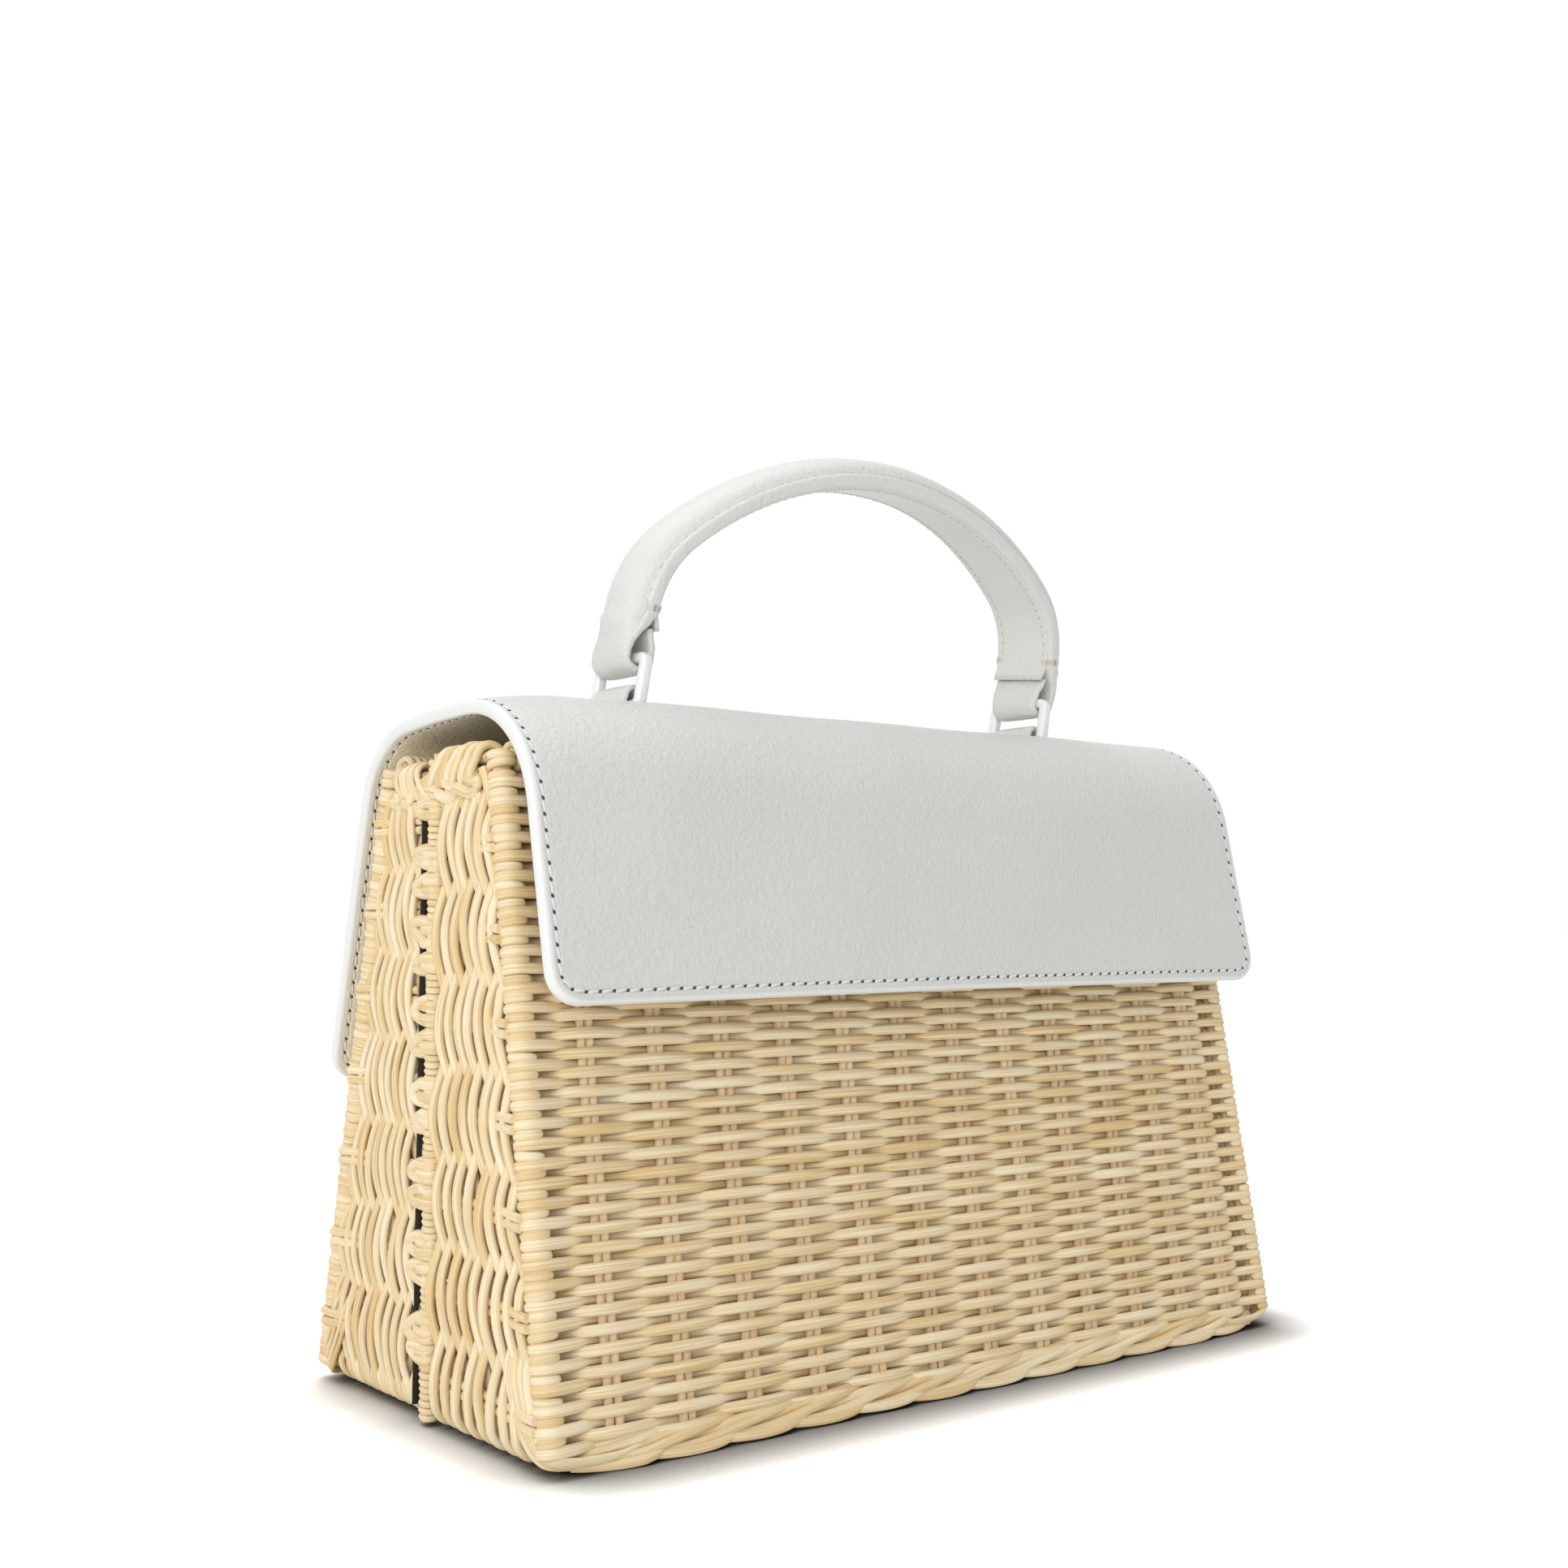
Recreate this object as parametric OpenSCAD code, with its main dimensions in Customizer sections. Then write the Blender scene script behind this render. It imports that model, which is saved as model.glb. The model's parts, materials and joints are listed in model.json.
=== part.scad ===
// Top handle bag: a woven reed basket in two laced halves under a leather flap cover,
// with an arched leather handle on two lacquered rings.
// +X is the wearer's right along the width, -Y is the front, +Z is up.
// The origin is the middle of the footprint on the table.

/* [Basket] */
// Width of the basket across the corner posts
basket_w = 294; // [250:1:340]
// Depth of the basket at the table
basket_d = 141; // [125:1:170]
// Height of the basket to the top of the front rim
basket_h = 190; // [170:1:220]
// Backward lean of the front wall in degrees
front_lean = 9.65; // [6:0.05:12]
// Forward lean of the rear wall in degrees
rear_lean = 11.6; // [8:0.05:13]

/* [Weave] */
// Thickness of one weaver
reed = 2.9; // [2.3:0.1:3.4]
// Height of one woven row, two reeds laid together
row_pitch = 5.1; // [4.4:0.1:8]
// Width of one woven row of the base
base_pitch = 11; // [8:0.5:16]
// Stakes across the front and rear walls
stake_count = 12; // [8:1:16]
// Width of a stake, a bundle of thin reeds
stake_w = 5.5; // [3:0.1:8]
// Thickness of a stake
stake_t = 2.2; // [1.2:0.1:3]
// Depth of the grooves between the wraps of a rod
wrap_groove = 0.55; // [0.3:0.05:0.7]
// Height between the hidden cross stakes of a gusset
gusset_stake_gap = 22; // [18:1:30]
// Diameter of a wrapped corner post
post_d = 8.4; // [7:0.1:11]
// Diameter of the rolled rims
rim_d = 9; // [7:0.1:11]
// Diameter of the braided border along the bottom
border_d = 9; // [7:0.1:11]
// Depth of the dips between the humps of the border
border_dip = 1.6; // [0.6:0.1:2.5]
// Diameter of the wrapped seam rods
seam_rod_d = 5; // [4:0.1:7]
// Front to back place of the seam between the halves
seam_y = -1.5; // [-6:0.5:6]
// Diameter of the reed in the side ties
tie_d = 1.6; // [1.2:0.1:2]
// Pairs of ties up each side
tie_pairs = 8; // [5:1:10]

/* [Leather cover] */
// Thickness of the stitched leather
leather_t = 4.2; // [3:0.1:5]
// Width of the cover
cover_w = 288.6; // [240:0.2:330]
// Height of the cover's top above the basket, at the middle
cover_rise = 9.3; // [8:0.1:16]
// Fall of the cover's top towards the rear in degrees
top_fall = 4.5; // [2:0.1:6]
// Lean of the front flap in degrees
flap_lean = 12; // [9:0.1:14]
// Lean of the rear panel in degrees
rear_panel_lean = 14.5; // [12:0.1:17]
// Outer radius of the front bend
front_bend_r = 38; // [30:1:44]
// Outer radius of the rear bend
rear_bend_r = 27; // [20:1:32]
// Height of the flap's lower edge above the table
flap_bottom = 117.5; // [95:0.5:130]
// Height of the rear panel's lower edge above the table
rear_bottom = 95; // [70:1:115]
// Space between the leather and the basket at the lower edges
cover_gap = 10.9; // [9:0.1:14]
// Radius of the cover's lower corners
corner_r = 12; // [6:0.5:20]
// Furthest that the flap folds back in degrees
flap_open = 120; // [90:1:125]

/* [Handle] */
// Distance between the two rings
ring_span = 173.8; // [140:0.2:190]
// Front to back place of the handle
handle_y = -6.2; // [-12:0.1:0]
// Diameter of the ring's wire
wire_d = 4.2; // [3:0.1:5]
// Distance between the ring's two legs
ring_w = 24.6; // [20:0.1:30]
// Distance between the ring's two bars
ring_h = 15; // [12:0.1:22]
// Lean of the rings towards +X as the handle stands, in degrees
sway = 10; // [-20:1:20]
// Width of the handle strap
strap_w = 19.6; // [15:0.1:19.8]
// Thickness of the strap at its crown
strap_crown = 9; // [7:0.1:11]
// Thickness of the strap at its edges
strap_edge = 5.5; // [4:0.1:6.5]
// Thickness of the strap's lining
lining_t = 1.6; // [1:0.1:2.2]
// Thickness of the leather that loops round a ring
loop_t = 2.6; // [1.8:0.1:3]
// Height of the straight legs above the ring's upper bar
leg_h = 15; // [10:0.5:25]
// Height of the arch's inside above the ring's upper bar
arch_h = 65.5; // [60:0.5:80]
// Inside radius of the arch's shoulders
shoulder_r = 36; // [30:0.5:40]
// Thickness of the tabs' leather
tab_t = 1.8; // [1.2:0.1:2.4]
// Length of a tab along the flap
tab_l = 30; // [20:1:40]

/* [Snap] */
// Diameter of the magnetic snap
snap_d = 18; // [14:0.5:22]
// Thickness of the magnet on the flap
magnet_t = 4.6; // [3:0.1:5.5]
// Height of the snap above the flap's lower edge
snap_rise = 18; // [14:1:30]

/* [Hidden] */
$fn = 48;

// Colours of the finishes
reed_colour = "burlywood";
rod_colour = "wheat";
leather_colour = "whitesmoke";
lining_colour = "gainsboro";
lacquer_colour = "white";
metal_colour = "silver";

// Seating clearances
seat = 0.1;      // between basket pieces that touch
run_gap = 0.05;  // round a ring's bar, and between glued leathers
fold_gap = 0.3;  // at the flap's fold, the snap and the rim under the cover
fuse = 0.1;      // depth that neighbouring weavers share at the middle of a wall
row_lap = 0.02;  // height that neighbouring rows of a weave share
ease = 0.05;     // by which a corner's rounding passes the edge
far = 1000;      // larger than the bag

// Weave: a stake in the middle, and weavers that pass in front of it and behind it by turns
swing = (reed - fuse) / 2;
wall_t = 2 * swing + reed;
stake_gap = basket_w / (stake_count + 1);
post_r = post_d / 2;
rim_r = rim_d / 2;
border_r = border_d / 2;
seam_r = seam_rod_d / 2;
wire_r = wire_d / 2;

// Half width between the corner posts, where the walls, rims, borders and base lie
inner_half = basket_w / 2 - post_d - seat;
// Heights along the slope of a wall
function slant(z, lean) = z / cos(lean);
function wall_foot(lean) = border_d / cos(lean) + wall_t * tan(lean) + seat;
// Y of a wall's outer plane at a height, measured from the middle of the bag
function wall_y(z, lean) = basket_d / 2 - z * tan(lean);

// Rims: the front one is flush with the wall, the gussets' lie a little lower
gusset_rim_drop = 1;
front_rim_z = basket_h - rim_r;
gusset_rim_z = front_rim_z - gusset_rim_drop;
rear_gusset_drop = 3;
gusset_top = gusset_rim_z - rim_r - seat;

// Seam between the halves
seam_x = basket_w / 2 - wall_t / 2;
front_gusset_end = seam_y - seam_r - seat;
rear_gusset_end = seam_y + seam_r + run_gap + tie_d + seat;

// Cover profile in the YZ plane: [y, z] points and directions of its outer face
front_up = [sin(flap_lean), cos(flap_lean)];
top_back = [cos(top_fall), -sin(top_fall)];
rear_down = [sin(rear_panel_lean), -cos(rear_panel_lean)];
function turn_in(u) = [u[1], -u[0]];
function meet(p, u, q, v) = p + u * cross(q - p, v) / cross(u, v);
stand_off = cover_gap + leather_t;
flap_foot = [-wall_y(flap_bottom, front_lean) - stand_off / cos(flap_lean), flap_bottom];
rear_foot = [wall_y(rear_bottom, rear_lean) + stand_off / cos(rear_panel_lean), rear_bottom];
top_mid = [0, basket_h + cover_rise];
front_vertex = meet(flap_foot, front_up, top_mid, top_back);
rear_vertex = meet(rear_foot, rear_down, top_mid, top_back);
front_turn = 90 - flap_lean + top_fall;
rear_turn = 90 - rear_panel_lean - top_fall;
front_tangent = front_bend_r * tan(front_turn / 2);
rear_tangent = rear_bend_r * tan(rear_turn / 2);
front_bend_start = front_vertex - front_up * front_tangent;
front_bend_end = front_vertex + top_back * front_tangent;
rear_bend_start = rear_vertex - top_back * rear_tangent;
rear_bend_end = rear_vertex + rear_down * rear_tangent;
front_bend_mid = front_bend_start + turn_in(front_up) * front_bend_r;
rear_bend_mid = rear_bend_start + turn_in(top_back) * rear_bend_r;
fold = rear_bend_end + turn_in(rear_down) * leather_t / 2;
flap_len = norm(front_bend_start - flap_foot);
top_len = norm(rear_bend_start - front_bend_end);
rear_len = norm(rear_foot - rear_bend_end);
function cover_top(y) = top_mid[1] - y * tan(top_fall);

// Rear rim: on the middle plane of the rear wall, just under the cover's rear bend
rear_plane = [basket_d / 2 - wall_t / 2 / cos(rear_lean), 0];
rear_up = [-sin(rear_lean), cos(rear_lean)];
rear_rim_reach = rear_bend_r - leather_t - rim_r - fold_gap;
rear_rim_along = (rear_bend_mid - rear_plane) * rear_up;
rear_rim_off = cross(rear_up, rear_bend_mid - rear_plane);
rear_rim_at = rear_plane
    + rear_up * (rear_rim_along + sqrt(rear_rim_reach ^ 2 - rear_rim_off ^ 2));
rear_wall_top = (rear_rim_at - rear_plane) * rear_up - rim_r - seat;
rear_post_top = rear_wall_top + rim_r;
rear_gusset_rim_z = gusset_rim_z - rear_gusset_drop;
rear_gusset_top = rear_gusset_rim_z - rim_r - seat;

// Handle
ring_x = ring_span / 2;
bar_z = cover_top(handle_y) + strap_w / 2 * tan(top_fall) + tab_t + run_gap + wire_r;
ring_corner_r = wire_r + 0.2;
tab_w = strap_w - 0.6;
leg_face = ring_x - loop_t - wire_r - run_gap - lining_t;
shoulder_x = leg_face - shoulder_r;
rise = arch_h - leg_h;
arch_r = (shoulder_x ^ 2 + rise ^ 2 - shoulder_r ^ 2) / (2 * (rise - shoulder_r));
arch_z = arch_h - arch_r;
shoulder_turn = atan2(leg_h - arch_z, shoulder_x);
crown_r = ((strap_w / 2) ^ 2 + (strap_crown - strap_edge) ^ 2) / (2 * (strap_crown - strap_edge));
lining_foot = 8;

// Placing helpers
module on_front() translate([0, -basket_d / 2, 0]) rotate([-front_lean, 0, 0]) children();
module on_rear() mirror([0, 1, 0]) translate([0, -basket_d / 2, 0]) rotate([-rear_lean, 0, 0]) children();
module on_right() mirror([1, 0, 0]) children();
module along_x() rotate([0, 90, 0]) children();
module along_y() rotate([-90, 0, 0]) children();
module turned_about_x() rotate(120, [1, 1, 1]) children();
module turned_about_y() rotate([90, 0, 0]) children();
module up_side() rotate(240, [1, 1, 1]) children();
module profile_at(p, u) translate([0, p[0], p[1]]) rotate([atan2(u[1], u[0]), 0, 0]) children();

// One weaver: a ribbon that swings from side to side past the stakes
function wave(stakes, gap, first, phase, shift) = [
    for (k = [0 : stakes - 1], side = [-1, 1])
        [first + k * gap + side * gap / 5, wall_t / 2 + ((k + phase) % 2 == 0 ? -swing : swing) + shift]
];
function backwards(list) = [for (i = [len(list) - 1 : -1 : 0]) list[i]];
module weaver(span, stakes, gap, phase, height) {
    first = (span - (stakes - 1) * gap) / 2;
    near = concat([[0, wall_t / 2 - reed / 2]], wave(stakes, gap, first, phase, -reed / 2),
        [[span, wall_t / 2 - reed / 2]]);
    back = concat([[0, wall_t / 2 + reed / 2]], wave(stakes, gap, first, phase, reed / 2),
        [[span, wall_t / 2 + reed / 2]]);
    linear_extrude(height) polygon(concat(near, backwards(back)));
}

// A woven panel: span along X, rows stacked along Z, outer face at Y = 0
module weave(span, height, stakes, gap, row) {
    rows = round(height / row);
    pitch = height / rows;
    first = (span - (stakes - 1) * gap) / 2;
    for (j = [0 : rows - 1])
        translate([0, 0, j * pitch]) weaver(span, stakes, gap, j % 2, pitch + (j < rows - 1 ? row_lap : 0));
    for (k = [0 : stakes - 1])
        translate([first + k * gap - stake_w / 2, (wall_t - stake_t) / 2, 0]) cube([stake_w, stake_t, height]);
}

// A rod wrapped round and round with reed, from Z = 0 upwards
module wrapped_rod(length, radius, groove) {
    wraps = round(length / row_pitch);
    pitch = length / wraps;
    ridges = [for (i = [0 : wraps - 1], p = [[0, 0], [0.25, groove], [0.75, groove]])
        [radius - groove + p[1], (i + p[0]) * pitch]];
    rotate_extrude() polygon(concat([[0, 0]], ridges, [[radius - groove, length], [0, length]]));
}

// A braided border: one hump for each stake, from Z = 0 upwards
module humped_rod(length, radius, dip, humps) {
    pitch = length / humps;
    steps = 6;
    outline = [for (i = [0 : humps * steps])
        [radius - dip + dip * abs(sin(180 * i / steps)), i * pitch / steps]];
    rotate_extrude() polygon(concat([[0, 0]], outline, [[0, length]]));
}

// Walls and base
module wall(top, lean) color(reed_colour) translate([-inner_half, 0, wall_foot(lean)])
    weave(2 * inner_half, top - wall_foot(lean), stake_count, stake_gap, row_pitch);
module front_wall() on_front() wall(slant(front_rim_z, front_lean) - rim_r - seat, front_lean);
module rear_wall() on_rear() wall(rear_wall_top, rear_lean);

// Gusset on the left: upright strands, cut to the slope of the corner post
module gusset(lean, near_end, top) color(reed_colour) {
    foot_y = -basket_d / 2 + (post_d + seat) / cos(lean);
    width = near_end - foot_y;
    stakes = round(top / gusset_stake_gap);
    intersection() {
        translate([-basket_w / 2, foot_y, 0]) up_side()
            weave(top, width, stakes, gusset_stake_gap, row_pitch);
        translate([-basket_w / 2 - 1, 0, 0]) up_prism(wall_t + 2)
            polygon([[foot_y, 0], [near_end, 0], [near_end, top], [foot_y + top * tan(lean), top]]);
    }
}
module up_prism(height) turned_about_x() linear_extrude(height) children();
module front_left_gusset() gusset(front_lean, front_gusset_end, gusset_top);
module rear_left_gusset() mirror([0, 1, 0]) gusset(rear_lean, -rear_gusset_end, rear_gusset_top);
module front_right_gusset() on_right() front_left_gusset();
module rear_right_gusset() on_right() rear_left_gusset();

// Base: weavers along the width, in two halves that meet under the seam
module base(depth) color(reed_colour) translate([-inner_half, -basket_d / 2 + border_d + 2 * seat, wall_t])
    rotate([-90, 0, 0]) weave(2 * inner_half, depth, stake_count, stake_gap, base_pitch);
base_inset = basket_d / 2 - border_d - 2 * seat;
module front_base() base(base_inset + seam_y - seat);
module rear_base() mirror([0, 1, 0]) base(base_inset - seam_y - seat);

// Corner posts
module post(top, lean) color(rod_colour) {
    foot = post_d * tan(lean);
    translate([-basket_w / 2 + post_r, post_r, foot]) wrapped_rod(top - foot, post_r, wrap_groove);
}
front_post_top = slant(front_rim_z + rim_r / 2, front_lean);
module front_left_post() on_front() post(front_post_top, front_lean);
module front_right_post() on_right() front_left_post();
module rear_left_post() on_rear() post(rear_post_top, rear_lean);
module rear_right_post() on_right() rear_left_post();

// Rims
module long_rim() along_x() translate([0, 0, -inner_half]) wrapped_rod(2 * inner_half, rim_r, wrap_groove);
module front_rim() color(rod_colour) on_front()
    translate([0, rim_r, slant(front_rim_z, front_lean)]) long_rim();
module rear_rim() color(rod_colour) translate([0, rear_rim_at[0], rear_rim_at[1]]) long_rim();
module side_rim(lean, near_end, z) color(rod_colour) {
    start = -wall_y(z + rim_r, lean) + (post_d + 2 * seat) / cos(lean);
    translate([-basket_w / 2 + rim_r, start, z]) along_y() wrapped_rod(near_end - start, rim_r, wrap_groove);
}
module front_left_rim() side_rim(front_lean, front_gusset_end, gusset_rim_z);
module front_right_rim() on_right() front_left_rim();
module rear_left_rim() mirror([0, 1, 0]) side_rim(rear_lean, -rear_gusset_end, rear_gusset_rim_z);
module rear_right_rim() on_right() rear_left_rim();

// Borders along the bottom of the walls
module front_border() color(rod_colour)
    translate([-inner_half, -basket_d / 2 + border_r + seat, border_r]) along_x()
        humped_rod(2 * inner_half, border_r, border_dip, stake_count + 1);
module rear_border() mirror([0, 1, 0]) front_border();

// Seam rods and the ties that lace the halves together
module left_seam_rod() color(rod_colour) translate([-seam_x, seam_y, 0])
    wrapped_rod(gusset_top + rim_d, seam_r, wrap_groove);
module right_seam_rod() on_right() left_seam_rod();
module left_ties() color(rod_colour) {
    tie_turn = 220;
    step = gusset_top / (tie_pairs + 0.5);
    for (i = [0 : tie_pairs - 1], side = [-1, 1])
        translate([-seam_x, seam_y, (i + 0.75) * step + side * tie_d]) rotate([0, 0, 90 - tie_turn / 2])
            rotate_extrude(angle = tie_turn) translate([seam_r + run_gap + tie_d / 2, 0]) circle(d = tie_d);
}
module right_ties() on_right() left_ties();

// Leather cover
bend_steps = 14;
function arc(mid, radius, from, to, steps) = [
    for (i = [0 : steps])
        mid + radius * [cos(from + (to - from) * i / steps), sin(from + (to - from) * i / steps)]
];
function inside(list) = [for (i = [1 : len(list) - 2]) list[i]];
flap_outline = concat(
    [flap_foot],
    arc(front_bend_mid, front_bend_r, 180 - flap_lean, 90 - top_fall, bend_steps),
    arc(rear_bend_mid, rear_bend_r, 90 - top_fall, rear_panel_lean, bend_steps),
    inside(arc(fold, leather_t / 2, rear_panel_lean, rear_panel_lean - 180, bend_steps)),
    arc(rear_bend_mid, rear_bend_r - leather_t, rear_panel_lean, 90 - top_fall, bend_steps),
    arc(front_bend_mid, front_bend_r - leather_t, 90 - top_fall, 180 - flap_lean, bend_steps),
    [flap_foot + turn_in(front_up) * leather_t]
);
// What is cut off a panel to round its two lower corners
module corner_waste() for (side = [0, 1]) mirror([side, 0, 0])
    translate([cover_w / 2 - corner_r + ease, corner_r - ease, -2 * leather_t]) difference() {
        translate([0, -corner_r - 1, 0]) cube([corner_r + 1, corner_r + 1, 4 * leather_t]);
        translate([0, 0, -1]) cylinder(r = corner_r, h = 4 * leather_t + 2);
    }
module flap() color(leather_colour) difference() {
    translate([-cover_w / 2, 0, 0]) up_prism(cover_w) polygon(flap_outline);
    profile_at(flap_foot, front_up) corner_waste();
}
// The rear panel's top edge is cut away where the flap comes to lie when it is folded back
module rear_cover() color(leather_colour) difference() {
    profile_at(rear_foot, -rear_down) translate([-cover_w / 2, 0, 0])
        cube([cover_w, rear_len - leather_t / 2 - fold_gap, leather_t]);
    profile_at(rear_foot, -rear_down) corner_waste();
    profile_at(fold, -rear_down) rotate([-flap_open, 0, 0])
        translate([-cover_w / 2 - 1, 0, -leather_t / 2 - fold_gap])
            cube([cover_w + 2, far, leather_t + 2 * fold_gap]);
}

// Tabs on the flap, each round the lower bar of a ring
module right_tab() color(leather_colour) difference() {
    union() {
        translate([ring_x, handle_y - tab_w / 2, bar_z]) along_y()
            cylinder(r = wire_r + run_gap + tab_t, h = tab_w);
        translate([ring_x - wire_r - tab_t, handle_y - tab_w / 2, bar_z - wire_r - tab_t - 2])
            cube([2 * (wire_r + tab_t), tab_w, wire_r + tab_t + 2]);
        profile_at([handle_y, cover_top(handle_y)], top_back)
            translate([ring_x - tab_l / 2, -tab_w / 2, 0]) cube([tab_l, tab_w, tab_t]);
    }
    profile_at([handle_y, cover_top(handle_y)], top_back)
        translate([0, -tab_w, run_gap - tab_w]) cube([far, 2 * tab_w, tab_w]);
    translate([ring_x, handle_y - tab_w, bar_z]) along_y() cylinder(r = wire_r + run_gap, h = 2 * tab_w);
}
module left_tab() on_right() right_tab();

// Rings: a rectangle of round wire, leaning with the handle
module ring() color(lacquer_colour) {
    bar = ring_w - 2 * ring_corner_r;
    leg = ring_h - 2 * ring_corner_r;
    for (z = [0, ring_h])
        translate([0, -bar / 2, z]) along_y() cylinder(d = wire_d, h = bar);
    for (side = [-1, 1])
        translate([0, side * ring_w / 2, ring_corner_r]) cylinder(d = wire_d, h = leg);
    for (corner = [[1, 1, 0], [-1, 1, 90], [-1, -1, 180], [1, -1, 270]])
        translate([0, corner[0] * bar / 2, ring_h / 2 + corner[1] * leg / 2])
            turned_about_x() rotate([0, 0, corner[2]])
                rotate_extrude(angle = 90) translate([ring_corner_r, 0]) circle(d = wire_d);
}
module ring_at(x) translate([x, handle_y, bar_z]) rotate([0, sway, 0]) ring();
module left_ring() ring_at(-ring_x);
module right_ring() ring_at(ring_x);

// Handle: a three-centred arch on two straight legs
// Stations of the arch's inner face: x, z and the direction that faces outwards
shoulder_steps = 7;
arch_steps = 12;
arch = concat(
    [for (i = [0 : shoulder_steps]) let (a = shoulder_turn * i / shoulder_steps)
        [shoulder_x + shoulder_r * cos(a), leg_h + shoulder_r * sin(a), a]],
    [for (i = [1 : arch_steps - 1]) let (a = shoulder_turn + (180 - 2 * shoulder_turn) * i / arch_steps)
        [arch_r * cos(a), arch_z + arch_r * sin(a), a]],
    [for (i = [0 : shoulder_steps]) let (a = 180 - shoulder_turn + shoulder_turn * i / shoulder_steps)
        [shoulder_r * cos(a) - shoulder_x, leg_h + shoulder_r * sin(a), a]]
);
function on_legs(foot) = concat([[leg_face, foot, 0]], arch, [[-leg_face, foot, 180]]);
function outwards(station, d) = [station[0] + d * cos(station[2]), station[1] + d * sin(station[2])];
// Section of the strap: distance from the arch's inner face, and place across the width
crown_steps = 8;
strap_foot_r = lining_t + run_gap;
strap_section = concat(
    [[strap_foot_r, -strap_w / 2]],
    [for (i = [0 : crown_steps]) let (y = strap_w * (i / crown_steps - 0.5))
        [strap_foot_r + strap_crown - crown_r + sqrt(crown_r ^ 2 - y ^ 2), y]],
    [[strap_foot_r, strap_w / 2]]
);
module at_handle() translate([ring_h * sin(sway), handle_y, bar_z + ring_h * cos(sway)]) children();
module swept(stations, section) {
    m = len(section);
    n = len(stations);
    points = [for (st = stations, q = section) let (p = outwards(st, q[0])) [p[0], q[1], p[1]]];
    sides = [for (i = [0 : n - 2], j = [0 : m - 1])
        [i * m + j, (i + 1) * m + j, (i + 1) * m + (j + 1) % m, i * m + (j + 1) % m]];
    near_cap = [for (j = [0 : m - 1]) j];
    far_cap = [for (j = [m - 1 : -1 : 0]) (n - 1) * m + j];
    polyhedron(points, concat(sides, [near_cap, far_cap]), convexity = 4);
}
module handle_strap() color(leather_colour) at_handle() difference() {
    union() {
        swept(on_legs(0), strap_section);
        for (side = [-1, 1])
            translate([side * ring_x, -strap_w / 2, 0]) along_y()
                cylinder(r = wire_r + run_gap + loop_t, h = strap_w);
    }
    for (side = [-1, 1])
        translate([side * ring_x, -strap_w, 0]) along_y() cylinder(r = wire_r + run_gap, h = 2 * strap_w);
}
module handle_lining() color(lining_colour) at_handle() turned_about_y()
    translate([0, 0, -strap_w / 2]) linear_extrude(strap_w) polygon(concat(
        [for (st = on_legs(lining_foot)) outwards(st, 0)],
        backwards([for (st = on_legs(lining_foot)) outwards(st, lining_t)])
    ));

// Magnetic snap between the flap and the front wall
module at_snap() profile_at(flap_foot + front_up * snap_rise + turn_in(front_up) * leather_t, front_up)
    rotate([180, 0, 0]) children();
module snap_magnet() color(metal_colour) at_snap() translate([0, 0, run_gap]) cylinder(d = snap_d, h = magnet_t);
module snap_socket() color(metal_colour) difference() {
    at_snap() translate([0, 0, run_gap + magnet_t + fold_gap]) cylinder(d = snap_d, h = cover_gap);
    on_front() translate([-far / 2, -seat, 0]) cube([far, far, far]);
}

front_wall();
rear_wall();
front_left_gusset();
front_right_gusset();
rear_left_gusset();
rear_right_gusset();
front_base();
rear_base();
front_left_post();
front_right_post();
rear_left_post();
rear_right_post();
front_rim();
rear_rim();
front_left_rim();
front_right_rim();
rear_left_rim();
rear_right_rim();
front_border();
rear_border();
left_seam_rod();
right_seam_rod();
left_ties();
right_ties();
rear_cover();
flap();
left_tab();
right_tab();
left_ring();
right_ring();
handle_strap();
handle_lining();
snap_socket();
snap_magnet();
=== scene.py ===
"""Top handle bag: a woven reed basket under a white leather flap cover, with an arched handle on two rings.

Sizes are in millimetres and become metres when a mesh is made. The frame is the CAD frame: +X is to the
right along the width, -Y is the front, +Z is up, and the origin is the middle of the footprint on the table.
"""
import json
import logging
import math
from dataclasses import dataclass
from enum import Enum

import bpy
import numpy as np
from mathutils import Matrix, Vector

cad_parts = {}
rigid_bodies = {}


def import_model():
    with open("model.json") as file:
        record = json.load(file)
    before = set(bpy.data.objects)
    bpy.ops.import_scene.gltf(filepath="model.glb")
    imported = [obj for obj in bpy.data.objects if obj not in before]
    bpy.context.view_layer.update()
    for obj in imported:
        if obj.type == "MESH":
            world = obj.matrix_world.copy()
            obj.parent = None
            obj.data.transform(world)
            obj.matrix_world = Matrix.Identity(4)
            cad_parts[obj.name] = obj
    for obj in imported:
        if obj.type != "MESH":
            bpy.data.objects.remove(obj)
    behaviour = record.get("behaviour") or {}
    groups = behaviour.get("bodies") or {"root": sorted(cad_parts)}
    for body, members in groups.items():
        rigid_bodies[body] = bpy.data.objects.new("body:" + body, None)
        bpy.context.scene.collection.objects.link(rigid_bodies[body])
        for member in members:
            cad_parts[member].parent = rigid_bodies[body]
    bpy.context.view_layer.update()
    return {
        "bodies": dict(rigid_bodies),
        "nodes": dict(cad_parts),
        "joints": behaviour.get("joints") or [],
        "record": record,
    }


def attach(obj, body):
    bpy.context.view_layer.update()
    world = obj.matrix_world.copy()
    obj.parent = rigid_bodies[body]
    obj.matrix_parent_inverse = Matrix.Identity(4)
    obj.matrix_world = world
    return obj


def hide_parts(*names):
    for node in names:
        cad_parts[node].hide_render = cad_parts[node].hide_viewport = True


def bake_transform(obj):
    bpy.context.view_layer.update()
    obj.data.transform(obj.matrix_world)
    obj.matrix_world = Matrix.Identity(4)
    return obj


logging.basicConfig(level=logging.INFO, format="%(name)s: %(message)s")
LOG = logging.getLogger("bag")
MM = 0.001
FULL_TURN = 2 * math.pi
Triple = tuple[float, float, float]
Array = np.ndarray
Number = float | np.ndarray
Mesh = bpy.types.Mesh
Node = bpy.types.Node
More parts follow.
